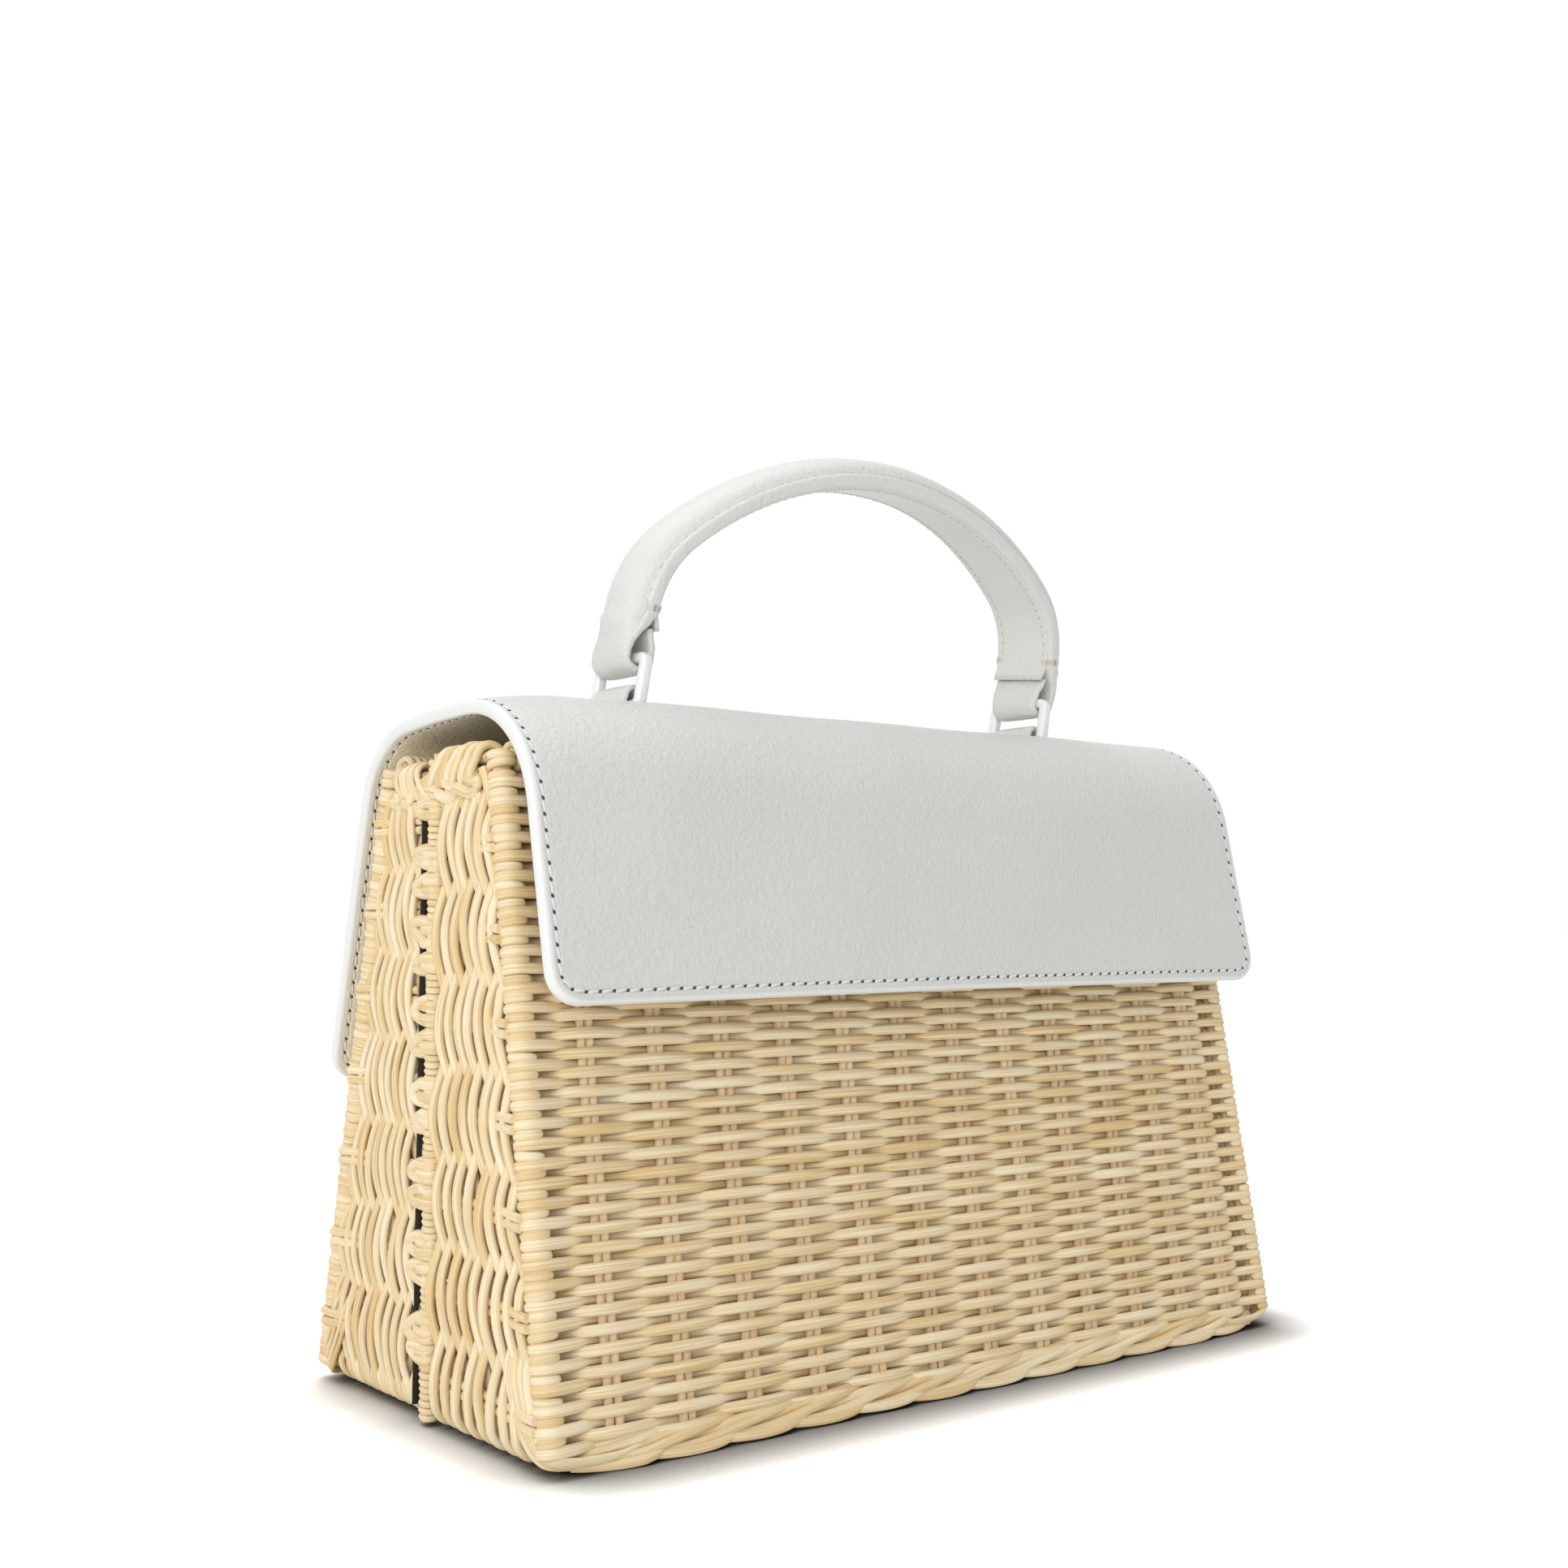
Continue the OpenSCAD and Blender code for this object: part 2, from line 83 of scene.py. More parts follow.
Object = bpy.types.Object
Socket = bpy.types.NodeSocket
Tree = bpy.types.NodeTree


class Body(Enum):
    """The CAD bodies that pieces ride on."""

    BASKET = "basket"
    FLAP = "cover_flap"
    LEFT_RING = "left_ring"
    RIGHT_RING = "right_ring"
    HANDLE = "handle"


class Side(Enum):
    """Left or right side of the bag, as a sign along X."""

    LEFT = -1
    RIGHT = 1

    @property
    def word(self) -> str:
        """The side as pieces name it."""
        return self.name.lower()


class Half(Enum):
    """Front or rear half basket, as a sign along Y."""

    FRONT = -1
    REAR = 1

    @property
    def word(self) -> str:
        """The half as pieces name it."""
        return self.name.lower()

    def pick(self, front: object, rear: object) -> object:
        """The value of this half, out of two."""
        return front if self is Half.FRONT else rear


# Finishes


@dataclass(frozen=True)
class ReedFinish:
    """Dry, uncoated reed.

    Attributes:
        pale: colour of the palest strands.
        deep: colour of the deepest strands.
        gloss: level of its reflections.
        depth: height of the fibres in metres.
    """

    name: str
    pale: Triple
    deep: Triple
    rough: float = 0.62
    gloss: float = 0.35
    depth: float = 0.00012


@dataclass(frozen=True)
class LeatherFinish:
    """White leather with a fine grain.

    Attributes:
        face: colour of the grained face.
        edge: colour of the painted edge.
        inner: colour of the inner side.
        grain: grain cells for each metre.
        depth: height of the grain in metres.
        gloss: level of its reflections.
        mottle: darkest and lightest shade of the face, as shares of its colour.
    """

    name: str
    face: Triple
    edge: Triple
    inner: Triple
    grain: float = 850.0
    depth: float = 0.00034
    rough: float = 0.5
    gloss: float = 0.4
    mottle: tuple[float, float] = (0.955, 1.03)


@dataclass(frozen=True)
class PlainFinish:
    """Thread, lacquer or metal: one colour with a faint mottle.

    Attributes:
        rough: mean roughness.
        metal: 1 for metal, 0 for the rest.
        coat: weight of a clear coat.
        mottle: darkest shade, as a share of the colour.
        spread: share by which the roughness goes up and down.
    """

    name: str
    colour: Triple
    rough: float
    metal: float = 0.0
    coat: float = 0.0
    mottle: float = 0.93
    spread: float = 0.15


Finish = ReedFinish | LeatherFinish | PlainFinish

REED = ReedFinish("woven_reed", (0.86, 0.75, 0.53), (0.68, 0.475, 0.205))
STAKE_REED = ReedFinish("stake_reed", (0.87, 0.70, 0.46), (0.64, 0.45, 0.24))
LEATHER = LeatherFinish("white_leather", (0.634, 0.638, 0.608), (0.77, 0.775, 0.755), (0.95, 0.87, 0.70))
STRAP_LEATHER = LeatherFinish("strap_leather", (0.68, 0.68, 0.65), (0.74, 0.74, 0.71), (0.585, 0.58, 0.535))
THREAD = PlainFinish("stitch_thread", (0.75, 0.75, 0.72), 0.7)
# Painted shade: the stitch slits are dark marks that stand in for the shade inside the stitch holes, paler
# on the lining.
HOLE_SHADE = PlainFinish("stitch_slit", (0.06, 0.06, 0.07), 0.9)
PALE_HOLE_SHADE = PlainFinish("lining_slit", (0.34, 0.34, 0.32), 0.9)
# Painted shade: a dark and a brown finish for sheets that stand in for the shade in the gaps between a
# side's strands and in the seam's gap.
DARK_PAINTED_SHADE = PlainFinish("dark_backing", (0.022, 0.014, 0.008), 0.95)
BROWN_PAINTED_SHADE = PlainFinish("brown_painted_shade", (0.55, 0.33, 0.13), 0.9)
RAW = PlainFinish("raw_thread", (0.72, 0.66, 0.50), 0.8)
LACQUER = PlainFinish("white_lacquer", (0.86, 0.87, 0.88), 0.28, coat=0.4)
STEEL = PlainFinish("snap_steel", (0.60, 0.60, 0.60), 0.35, metal=1.0)


class Graph:
    """A node tree that is filled node by node."""

    def __init__(self, tree: Tree) -> None:
        """Keeps the tree."""
        self.tree = tree

    def feed(self, node: Node, inputs: dict[str | int, object]) -> Node:
        """Sets or links inputs of a node.

        Args:
            node: the node.
            inputs: a plain value or a socket for each input, by its name or number.

        Returns:
            The node.
        """
        for key, value in inputs.items():
            if isinstance(value, Socket):
                self.tree.links.new(value, node.inputs[key])
            else:
                node.inputs[key].default_value = value
        return node

    def add(self, kind: str, inputs: dict[str | int, object] | None = None, **options: object) -> Node:
        """Adds a node.

        Args:
            kind: its type.
            inputs: its inputs, as in feed.
            options: its other settings, such as operation.

        Returns:
            The node.
        """
        node = self.tree.nodes.new(kind)
        for key, value in options.items():
            setattr(node, key, value)
        return self.feed(node, inputs or {})

    def maths(self, operation: str, *values: object) -> Socket:
        """The result of a math node on sockets or numbers."""
        return self.add("ShaderNodeMath", dict(enumerate(values)), operation=operation).outputs[0]

    def mix(self, factor: Socket, low: object, high: object) -> Socket:
        """The colour between low, at a factor of 0, and high, at 1, each a colour or a socket."""
        ends = [v if isinstance(v, Socket) else (*v, 1.0) for v in (low, high)]
        return self.add("ShaderNodeMix", {0: factor, 6: ends[0], 7: ends[1]}, data_type="RGBA").outputs[2]

    def noise(self, vector: Socket, scale: float, detail: float) -> Socket:
        """The level of a noise texture."""
        sizes = {"Vector": vector, "Scale": scale, "Detail": detail}
        return self.add("ShaderNodeTexNoise", sizes).outputs["Fac"]

    def bump(self, height: Socket, strength: float, distance: float) -> Socket:
        """The normal of a bumpy surface."""
        sizes = {"Height": height, "Strength": strength, "Distance": distance}
        return self.add("ShaderNodeBump", sizes).outputs[0]

    def attribute(self, name: str) -> Socket:
        """A named number of the mesh."""
        return self.add("ShaderNodeAttribute", attribute_name=name).outputs["Fac"]

    def place(self) -> Socket:
        """The Object coordinates."""
        return self.add("ShaderNodeTexCoord").outputs["Object"]


class Materials:
    """Makes each finish once, from shared shader groups."""

    def __init__(self) -> None:
        """Builds the groups."""
        self._made: dict[str, bpy.types.Material] = {}
        self._fibre_tree = self._fibres()
        self._grain_tree = self._grain()

    @staticmethod
    def _group(name: str, inputs: dict[str, float | None], outputs: tuple[str, ...]) -> Graph:
        """Starts a shader group.

        Args:
            name: its name.
            inputs: default of each number input, or None for a vector input.
            outputs: names of its number outputs.

        Returns:
            The graph of the new group.
        """
        tree = bpy.data.node_groups.new(name, "ShaderNodeTree")
        for key, value in inputs.items():
            kind = "NodeSocketVector" if value is None else "NodeSocketFloat"
            slot = tree.interface.new_socket(name=key, in_out="INPUT", socket_type=kind)
            if value is not None:
                slot.default_value = value
        for key in outputs:
            tree.interface.new_socket(name=key, in_out="OUTPUT", socket_type="NodeSocketFloat")
        return Graph(tree)

    def _fibres(self) -> Tree:
        """The group that draws the long fibres of a reed, with a faint blotch along it.

        Returns:
            A group with inputs Along, Around and Tone and outputs Shade and Height.
        """
        round_scale, along_scale, tone_shift = 2.4, 30.0, 311.0
        graph = self._group("Reed fibres", {"Along": 0.0, "Around": 0.0, "Tone": 0.5}, ("Shade", "Height"))
        inlet = graph.add("NodeGroupInput").outputs
        turn = graph.maths("MULTIPLY", inlet["Around"], FULL_TURN)
        run = graph.maths("ADD", graph.maths("MULTIPLY", inlet["Along"], along_scale),
                          graph.maths("MULTIPLY", inlet["Tone"], tone_shift))
        where = graph.add("ShaderNodeCombineXYZ", {
            0: graph.maths("MULTIPLY", graph.maths("COSINE", turn), round_scale),
            1: graph.maths("MULTIPLY", graph.maths("SINE", turn), round_scale),
            2: run,
        })
        fine = graph.noise(where.outputs[0], 1.2, 2.0)
        spots = graph.add("ShaderNodeTexNoise", noise_dimensions="1D")
        graph.feed(spots, {"W": run, "Scale": 1.0})
        streak = graph.maths("MULTIPLY", graph.maths("SUBTRACT", fine, 0.5), 2.6)
        blotch = graph.maths("MULTIPLY", graph.maths("SUBTRACT", spots.outputs["Fac"], 0.5), 0.7)
        shade = graph.maths("ADD", graph.maths("ADD", streak, blotch), inlet["Tone"])
        graph.add("NodeGroupOutput", {"Shade": shade, "Height": fine})
        return graph.tree

    def _grain(self) -> Tree:
        """The group that draws leather grain: cells, fine creases and a cloudy mottle.

        Returns:
            A group with inputs Vector and Scale and outputs Height and Mottle.
        """
        crease_scale, cloud_scale, cell_height = 420.0, 26.0, -0.7
        graph = self._group("Leather grain", {"Vector": None, "Scale": 1100.0}, ("Height", "Mottle"))
        inlet = graph.add("NodeGroupInput").outputs
        cells = graph.add("ShaderNodeTexVoronoi", feature="SMOOTH_F1")
        graph.feed(cells, {"Vector": inlet["Vector"], "Scale": inlet["Scale"]})
        crease = graph.noise(inlet["Vector"], crease_scale, 3.0)
        height = graph.maths("MULTIPLY_ADD", cells.outputs["Distance"], cell_height, crease)
        mottle = graph.noise(inlet["Vector"], cloud_scale, 4.0)
        graph.add("NodeGroupOutput", {"Height": height, "Mottle": mottle})
        return graph.tree

    def of(self, finish: Finish) -> bpy.types.Material:
        """The material of a finish.

        Args:
            finish: the finish.

        Returns:
            The material, made once.
        """
        if finish.name not in self._made:
            mat = bpy.data.materials.new(finish.name)
            mat.use_nodes = True
            paints = {ReedFinish: self._reed, LeatherFinish: self._leather, PlainFinish: self._plain}
            graph = Graph(mat.node_tree)
            graph.feed(mat.node_tree.nodes["Principled BSDF"], paints[type(finish)](finish, graph))
            self._made[finish.name] = mat
        return self._made[finish.name]

    def _reed(self, finish: ReedFinish, graph: Graph) -> dict[str, object]:
        """The shader's inputs for reed, whose fibres follow attributes of the strand.

        Args:
            finish: the finish.
            graph: the material's nodes.

        Returns:
            A value or a socket for each input.
        """
        strand = {name: graph.attribute(name.lower()) for name in ("Along", "Around", "Tone")}
        fibres = graph.add("ShaderNodeGroup", strand, node_tree=self._fibre_tree).outputs
        return {"Base Color": graph.mix(fibres["Shade"], finish.deep, finish.pale),
                "Roughness": finish.rough,
                "Specular IOR Level": finish.gloss,
                "Normal": graph.bump(fibres["Height"], 0.5, finish.depth)}

    def _leather(self, finish: LeatherFinish, graph: Graph) -> dict[str, object]:
        """The shader's inputs for leather, whose painted edge and inner side are attributes of the mesh.

        Args:
            finish: the finish.
            graph: the material's nodes.

        Returns:
            A value or a socket for each input.
        """
        where = {"Vector": graph.place(), "Scale": finish.grain}
        grain = graph.add("ShaderNodeGroup", where, node_tree=self._grain_tree).outputs
        shades = [tuple(min(1.0, c * share) for c in finish.face) for share in finish.mottle]
        face = graph.mix(grain["Mottle"], *shades)
        inner = graph.mix(graph.attribute("inner"), face, finish.inner)
        painted = graph.attribute("edge")
        height = graph.maths("MULTIPLY", graph.maths("SUBTRACT", 1.0, painted), grain["Height"])
        return {"Base Color": graph.mix(painted, inner, finish.edge),
                "Roughness": finish.rough,
                "Specular IOR Level": finish.gloss,
                "Normal": graph.bump(height, 0.9, finish.depth)}

    @staticmethod
    def _plain(finish: PlainFinish, graph: Graph) -> dict[str, object]:
        """The shader's inputs for thread, lacquer or metal.

        Args:
            finish: the finish.
            graph: the material's nodes.

        Returns:
            A value or a socket for each input.
        """
        cloud = graph.noise(graph.place(), 300.0, 3.0)
        low, high = (min(1.0, finish.rough * (1 + way * finish.spread)) for way in (-1, 1))
        rough = graph.add("ShaderNodeMapRange", {"Value": cloud, "To Min": low, "To Max": high})
        darker = tuple(c * finish.mottle for c in finish.colour)
        return {"Base Color": graph.mix(cloud, darker, finish.colour),
                "Roughness": rough.outputs[0],
                "Metallic": finish.metal,
                "Coat Weight": finish.coat}


# Tools


class Strands:
    """Paths of reeds or threads, gathered before they become one mesh.

    Attributes:
        tip_reach: how far a rounded end's two rings stand out, in radii.
        tip_share: their radius, as shares of the strand's.
        tones: mean and spread of a seeded tone.
    """

    tip_reach = np.array([0.55, 0.35])
    tip_share = np.array([0.35, 0.8])
    tones = (0.58, 0.15)

    def __init__(self, seed: int) -> None:
        """Starts with no path and a fixed seed."""
        self.paths: list[tuple[Array, Array, Array, float]] = []
        self.random = np.random.default_rng(seed)

    def add(self, points: Array, radius: Number, outward: Array | list[float],
            tone: float | None = None, round_ends: bool = False) -> None:
        """Adds one strand.

        Args:
            points: its points, n by 3, in millimetres.
            radius: its radius, one number or one for each point.
            outward: direction of its flat side, 3 numbers or n by 3.
            tone: share of the pale colour, or None for a seeded one.
            round_ends: True to round its two ends.
        """
        points = np.asarray(points, float)
        thick = np.broadcast_to(np.asarray(radius, float), (len(points),))
        outward = np.broadcast_to(np.asarray(outward, float), points.shape)
        if round_ends:
            tips = []
            for end, inner in ((0, 1), (-1, -2)):
                way = points[end] - points[inner]
                way = way / max(np.linalg.norm(way), 1e-6)
                tips.append(points[end] + np.outer(self.tip_reach, way * thick[end]))
            points = np.vstack([tips[0], points, tips[1][::-1]])
            thick = np.concatenate([thick[0] * self.tip_share, thick, thick[-1] * self.tip_share[::-1]])
            outward = np.pad(outward, ((2, 2), (0, 0)), "edge")
        if tone is None:
            tone = float(np.clip(self.random.normal(*self.tones), 0.05, 1.0))
        self.paths.append((points * MM, thick * MM, outward, tone))

    def path_mesh(self, name: str) -> Mesh:
        """The paths as a mesh of edges, with their radius, flat side and tone as attributes.

        Args:
            name: name of the mesh.

        Returns:
            The mesh.
        """
        points, thick, outward, _ = zip(*self.paths)
        edges = []
        start = 0
        for path in points:
            first = np.arange(start, start + len(path) - 1)
            edges.append(np.column_stack([first, first + 1]))
            start += len(path)
        mesh = bpy.data.meshes.new(name)
        mesh.from_pydata(np.vstack(points).tolist(), np.vstack(edges).tolist(), [])
        tones = np.concatenate([np.full(len(path[0]), path[3]) for path in self.paths])
        set_values(mesh, {"thick": np.concatenate(thick), "tone": tones})
        flat = np.vstack(outward).astype(np.float32)
        mesh.attributes.new("outward", "FLOAT_VECTOR", "POINT").data.foreach_set("vector", flat.ravel())
        return mesh


class Workshop:
    """Makes materials, tubes along paths by Geometry Nodes, and plain pieces."""

    def __init__(self) -> None:
        """Builds the shader groups and the node group for tubes."""
        self.mats = Materials()
        self.tube_tree = self._tubes()

    @staticmethod
    def _tubes() -> Tree:
        """The node group that turns paths into tubes.

        Returns:
            A group with inputs Paths, Sides, Flatness and Finish and the output Reeds.
        """
        tree = bpy.data.node_groups.new("Reed tubes", "GeometryNodeTree")
        inputs = {"Paths": "Geometry", "Sides": "Int", "Flatness": "Float", "Finish": "Material"}
        for name, kind in inputs.items():
            tree.interface.new_socket(name=name, in_out="INPUT", socket_type=f"NodeSocket{kind}")
        tree.interface.new_socket(name="Reeds", in_out="OUTPUT", socket_type="NodeSocketGeometry")
        graph = Graph(tree)

        def named(name: str, kind: str) -> Socket:
            """A named attribute of the paths."""
            node = graph.add("GeometryNodeInputNamedAttribute", {0: name}, data_type=kind)
            return node.outputs["Attribute"]

        def store(geometry: Socket, name: str, value: Socket) -> Socket:
            """The geometry with a number stored on each point under a name."""
            sockets = {"Geometry": geometry, "Name": name, "Value": value}
            return graph.add("GeometryNodeStoreNamedAttribute", sockets, data_type="FLOAT").outputs[0]

        inlet = graph.add("NodeGroupInput").outputs
        curve = graph.add("GeometryNodeMeshToCurve", {0: inlet["Paths"]}).outputs[0]
        flat_side = {"Curve": curve, "Normal": named("outward", "FLOAT_VECTOR")}
        curve = graph.add("GeometryNodeSetCurveNormal", flat_side, mode="FREE").outputs[0]
        thick = {"Curve": curve, "Radius": named("thick", "FLOAT")}
        curve = graph.add("GeometryNodeSetCurveRadius", thick).outputs[0]
        curve = store(curve, "along", graph.add("GeometryNodeSplineParameter").outputs["Length"])
        ring = graph.add("GeometryNodeCurvePrimitiveCircle", {"Radius": 1.0, "Resolution": inlet["Sides"]})
        share = graph.add("GeometryNodeSplineParameter").outputs["Factor"]
        squash = graph.add("ShaderNodeCombineXYZ", {0: inlet["Flatness"], 1: 1.0, 2: 1.0}).outputs[0]
        around = {"Geometry": store(ring.outputs["Curve"], "around", share), "Scale": squash}
        profile = graph.add("GeometryNodeTransform", around).outputs[0]
        wide = named("thick", "FLOAT")
        tube = {"Curve": curve, "Profile Curve": profile, "Scale": wide, "Fill Caps": True}
        made = graph.add("GeometryNodeCurveToMesh", tube).outputs[0]
        made = graph.add("GeometryNodeSetShadeSmooth", {0: made}).outputs[0]
        made = graph.add("GeometryNodeRealizeInstances", {0: made}).outputs[0]
        painted = {"Geometry": made, "Material": inlet["Finish"]}
        made = graph.add("GeometryNodeSetMaterial", painted).outputs[0]
        graph.add("NodeGroupOutput", {0: made})
        return tree

    def tubes(self, name: str, strands: Strands, finish: Finish, sides: int, flatness: float) -> Object:
        """Makes one plain mesh of tubes.

        Args:
            name: name of the piece.
            strands: the paths.
            finish: its finish.
            sides: sides of a tube.
            flatness: depth of a tube over its width.

        Returns:
            The piece, at the origin and with no modifier left.
        """
        piece = new_object(name, strands.path_mesh(name))
        modifier = piece.modifiers.new("Reeds", "NODES")
        modifier.node_group = self.tube_tree
        values = {"Sides": sides, "Flatness": flatness, "Finish": self.mats.of(finish)}
        for item in self.tube_tree.interface.items_tree:
            if item.name in values:
                modifier[item.identifier] = values[item.name]
        graph = bpy.context.evaluated_depsgraph_get()
        paths = piece.data
        made = bpy.data.meshes.new_from_object(piece.evaluated_get(graph), depsgraph=graph)
        piece.modifiers.clear()
        piece.data = made
        made.name = name
        bpy.data.meshes.remove(paths)
        return piece

    def solid(self, mesh: Mesh, finish: Finish) -> Object:
        """Makes a piece of a mesh, under the mesh's name."""
        mesh.materials.append(self.mats.of(finish))
        return new_object(mesh.name, mesh)


def new_object(name: str, mesh: Mesh) -> Object:
    """Links a mesh into the scene as an object at the origin.

    Args:
        name: name of the object.
        mesh: its mesh.

    Returns:
        The object.
    """
    piece = bpy.data.objects.new(name, mesh)
    bpy.context.scene.collection.objects.link(piece)
    return piece


def set_values(mesh: Mesh, values: dict[str, Array]) -> None:
    """Stores numbers on a mesh's points, each set under its name."""
    for key, data in values.items():
        mesh.attributes.new(key, "FLOAT", "POINT").data.foreach_set("value", data.astype(np.float32))


def grid_quads(rows: int, columns: int, round_rows: bool = False, round_columns: bool = False) -> Array:
    """Faces of a grid of points.

    Args:
        rows: number of rows of points.
        columns: points of a row.
        round_rows: True where the last row joins the first.
        round_columns: True where a row's last point joins its first.

    Returns:
        Point numbers, n by 4.
    """
    i, j = np.meshgrid(np.arange(rows if round_rows else rows - 1),
                       np.arange(columns if round_columns else columns - 1), indexing="ij")
    i_next, j_next = (i + 1) % rows, (j + 1) % columns
    corners = [i * columns + j, i * columns + j_next, i_next * columns + j_next, i_next * columns + j]
    return np.stack(corners, -1).reshape(-1, 4)


def face_mesh(name: str, points: Array, faces: list[list[int]]) -> Mesh:
    """A smooth shaded mesh.

    Args:
        name: its name.
        points: its points, n by 3, in millimetres.
        faces: point numbers of each face.

    Returns:
        The mesh.
    """
    mesh = bpy.data.meshes.new(name)
    mesh.from_pydata((points * MM).tolist(), [], faces)
    mesh.shade_smooth()
    mesh.update()
    return mesh


def lofted(name: str, rings: list[Array] | Array, round_rows: bool = False) -> Mesh:
    """A closed mesh through rings of points.

    Args:
        name: its name.
        rings: n rings of m points, in millimetres.
        round_rows: True where the last ring joins the first. Else both are capped.

    Returns:
        The mesh.
    """
    rings = np.asarray(rings, float)
    n, m = rings.shape[:2]
    faces = grid_quads(n, m, round_rows, True).tolist()
    if not round_rows:
        faces += [list(range(m - 1, -1, -1)), list(range((n - 1) * m, n * m))]
    return face_mesh(name, rings.reshape(-1, 3), faces)


def spline(points: Array, steps: int) -> Array:
    """A smooth path through points.

    Args:
        points: control points, n by d.
        steps: points for each stretch.

    Returns:
        The sampled path.
    """
    p = np.vstack([2 * points[0] - points[1], points, 2 * points[-1] - points[-2]])
    t = np.linspace(0, 1, steps, endpoint=False)[:, None]
    out = []
    for a, b, c, d in zip(p[:-3], p[1:-2], p[2:-1], p[3:]):
        bend = (2 * a - 5 * b + 4 * c - d) * t ** 2 + (3 * b - a - 3 * c + d) * t ** 3
        out.append(0.5 * (2 * b + (c - a) * t + bend))
    return np.vstack([*out, points[-1:]])


def wave(x: Array, marks: Array, levels: Array, sharp: float = 1.0) -> Array:
    """A wave that passes given levels at given marks and flattens there.

    Args:
        x: where it is wanted.
        marks: rising places of the marks.
        levels: level at each mark.
        sharp: 1 for a cosine, less for flatter tops.

    Returns:
        The level at each x.
    """
    k = np.clip(np.searchsorted(marks, x) - 1, 0, len(marks) - 2)
    share = np.clip((x - marks[k]) / (marks[k + 1] - marks[k]), 0, 1)
    c = np.cos(np.pi * share)
    c = np.sign(c) * np.abs(c) ** sharp
    return levels[k] + (levels[k + 1] - levels[k]) * (1 - c) / 2


def points_of(x: Number, y: Number, z: Number) -> Array:
    """Points from their coordinates, each one number or one for each point."""
    return np.stack(np.broadcast_arrays(x, y, z), -1)


# Basket


@dataclass(frozen=True)
class BasketSizes:
    """Sizes of the basket in millimetres and degrees, as in the CAD source where it has them.

    Attributes:
        clear: gap between woven pieces.
        front_rim, rear_rim: Y and Z of a rim's middle.
        border_lap: how far the lowest rows reach down behind the border.
        stake_foot: height along the wall where the stakes start.
        reed: mean radius of a weaver.
        float_reed: its radius where it floats over a stake.
        tucked_reed: its radius where it passes behind a stake.
        flatness: depth of a reed over its width.
        swing: how far a weaver swings from the middle of the wall.
        gusset_pitch: distance between the upright strands of a gusset.
        gusset_swing: how far they swing from the gusset's middle.
        gusset_sway: how far they sway sideways as they swing.
        gusset_stake_gap: distance between the cross stakes of a gusset.
    """

    width: float = 294.0
    depth: float = 141.0
    height: float = 190.0
    front_lean: float = 9.65
    rear_lean: float = 11.6
    clear: float = 0.1
    wall_t: float = 5.7
    stake_count: int = 12
    post_r: float = 4.2
    border_d: float = 9.0
    rim_r: float = 4.5
    front_rim: tuple[float, float] = (-34.5, 184.75)
    rear_rim: tuple[float, float] = (29.5, 185.4)
    rear_wall_top: float = 184.0
    gusset_rim_z: float = 184.5
    rear_gusset_rim_z: float = 181.5
    seam_y: float = -1.5
    seam_r: float = 3.0
    seam_gap: float = 5.8
    border_lap: float = 4.4
    stake_foot: float = 2.4
    reed: float = 1.28
    float_reed: float = 1.55
    tucked_reed: float = 1.4
    flatness: float = 0.72
    pitch: float = 2.55
    swing: float = 1.85
    gusset_pitch: float = 3.2
    gusset_swing: float = 1.95
    gusset_sway: float = 1.5
    gusset_stake_gap: float = 24.6
    gusset_first_stake: float = 13.0

    @property
    def stake_gap(self) -> float:
        """Distance between stakes."""
        return self.width / (self.stake_count + 1)

    @property
    def inner_half(self) -> float:
        """Half the width between the posts."""
        return self.width / 2 - 2 * self.post_r - self.clear

    @property
    def stakes(self) -> Array:
        """Places of the stakes across the width."""
        return (np.arange(self.stake_count) - (self.stake_count - 1) / 2) * self.stake_gap

    @property
    def turn_r(self) -> float:
        """Radius of a weaver's path round a post."""
        return self.post_r - self.float_reed * self.flatness

    @property
    def gusset_mid(self) -> float:
        """Depth of a gusset's middle."""
        return self.gusset_swing + self.float_reed * self.flatness

    @property
    def seam_rear(self) -> float:
        """Y of the rear half's edge at the seam."""
        return self.seam_y + self.seam_r + self.seam_gap

    def reed_at(self, share: Array) -> Array:
        """Radius of a weaver, by how far it is in front of its stakes, from 0 to 1."""
        return self.tucked_reed + (self.float_reed - self.tucked_reed) * share

    def lean(self, half: Half) -> float:
        """Lean of a wall in radians."""
        return math.radians(half.pick(self.front_lean, self.rear_lean))

    def on_wall(self, half: Half, x: Array, t: Array, s: Array) -> Array:
        """Points given by their place on a leaning wall.

        Args:
            half: front or rear wall.
            x: across the width.
            t: inwards from the wall's outer plane.
            s: up along the wall.

        Returns:
            The points.
        """
        a = self.lean(half)
        y = -self.depth / 2 + t * math.cos(a) + s * math.sin(a)
        return points_of(x, half.pick(y, -y), -t * math.sin(a) + s * math.cos(a))

    def wall_out(self, half: Half) -> Array:
        """Outward direction of a wall."""
        a = self.lean(half)
        return np.array([0.0, half.value * math.cos(a), math.sin(a)])

    def wall_top(self, half: Half) -> float:
        """Height along a wall where its rows end."""
        front = (self.height - self.rim_r) / math.cos(self.lean(half)) - self.rim_r - self.clear
        return half.pick(front, self.rear_wall_top)

    def rows(self, half: Half) -> Array:
        """Heights of a wall's rows.

        Args:
            half: front or rear wall.

        Returns:
            The height of each row along the wall.
        """
        a = self.lean(half)
        low = self.border_d / math.cos(a) + self.wall_t * math.tan(a) + self.clear - self.border_lap
        tall = self.wall_top(half) - low
        count = round(tall / self.pitch)
        return low + (np.arange(count) + 0.5) * tall / count

    def post_y(self, half: Half, z: Number) -> Number:
        """Y of a post's inner edge at a height above the table."""
        a = self.lean(half)
        return half.value * (self.depth / 2 - 2 * self.post_r / math.cos(a) - z * math.tan(a))


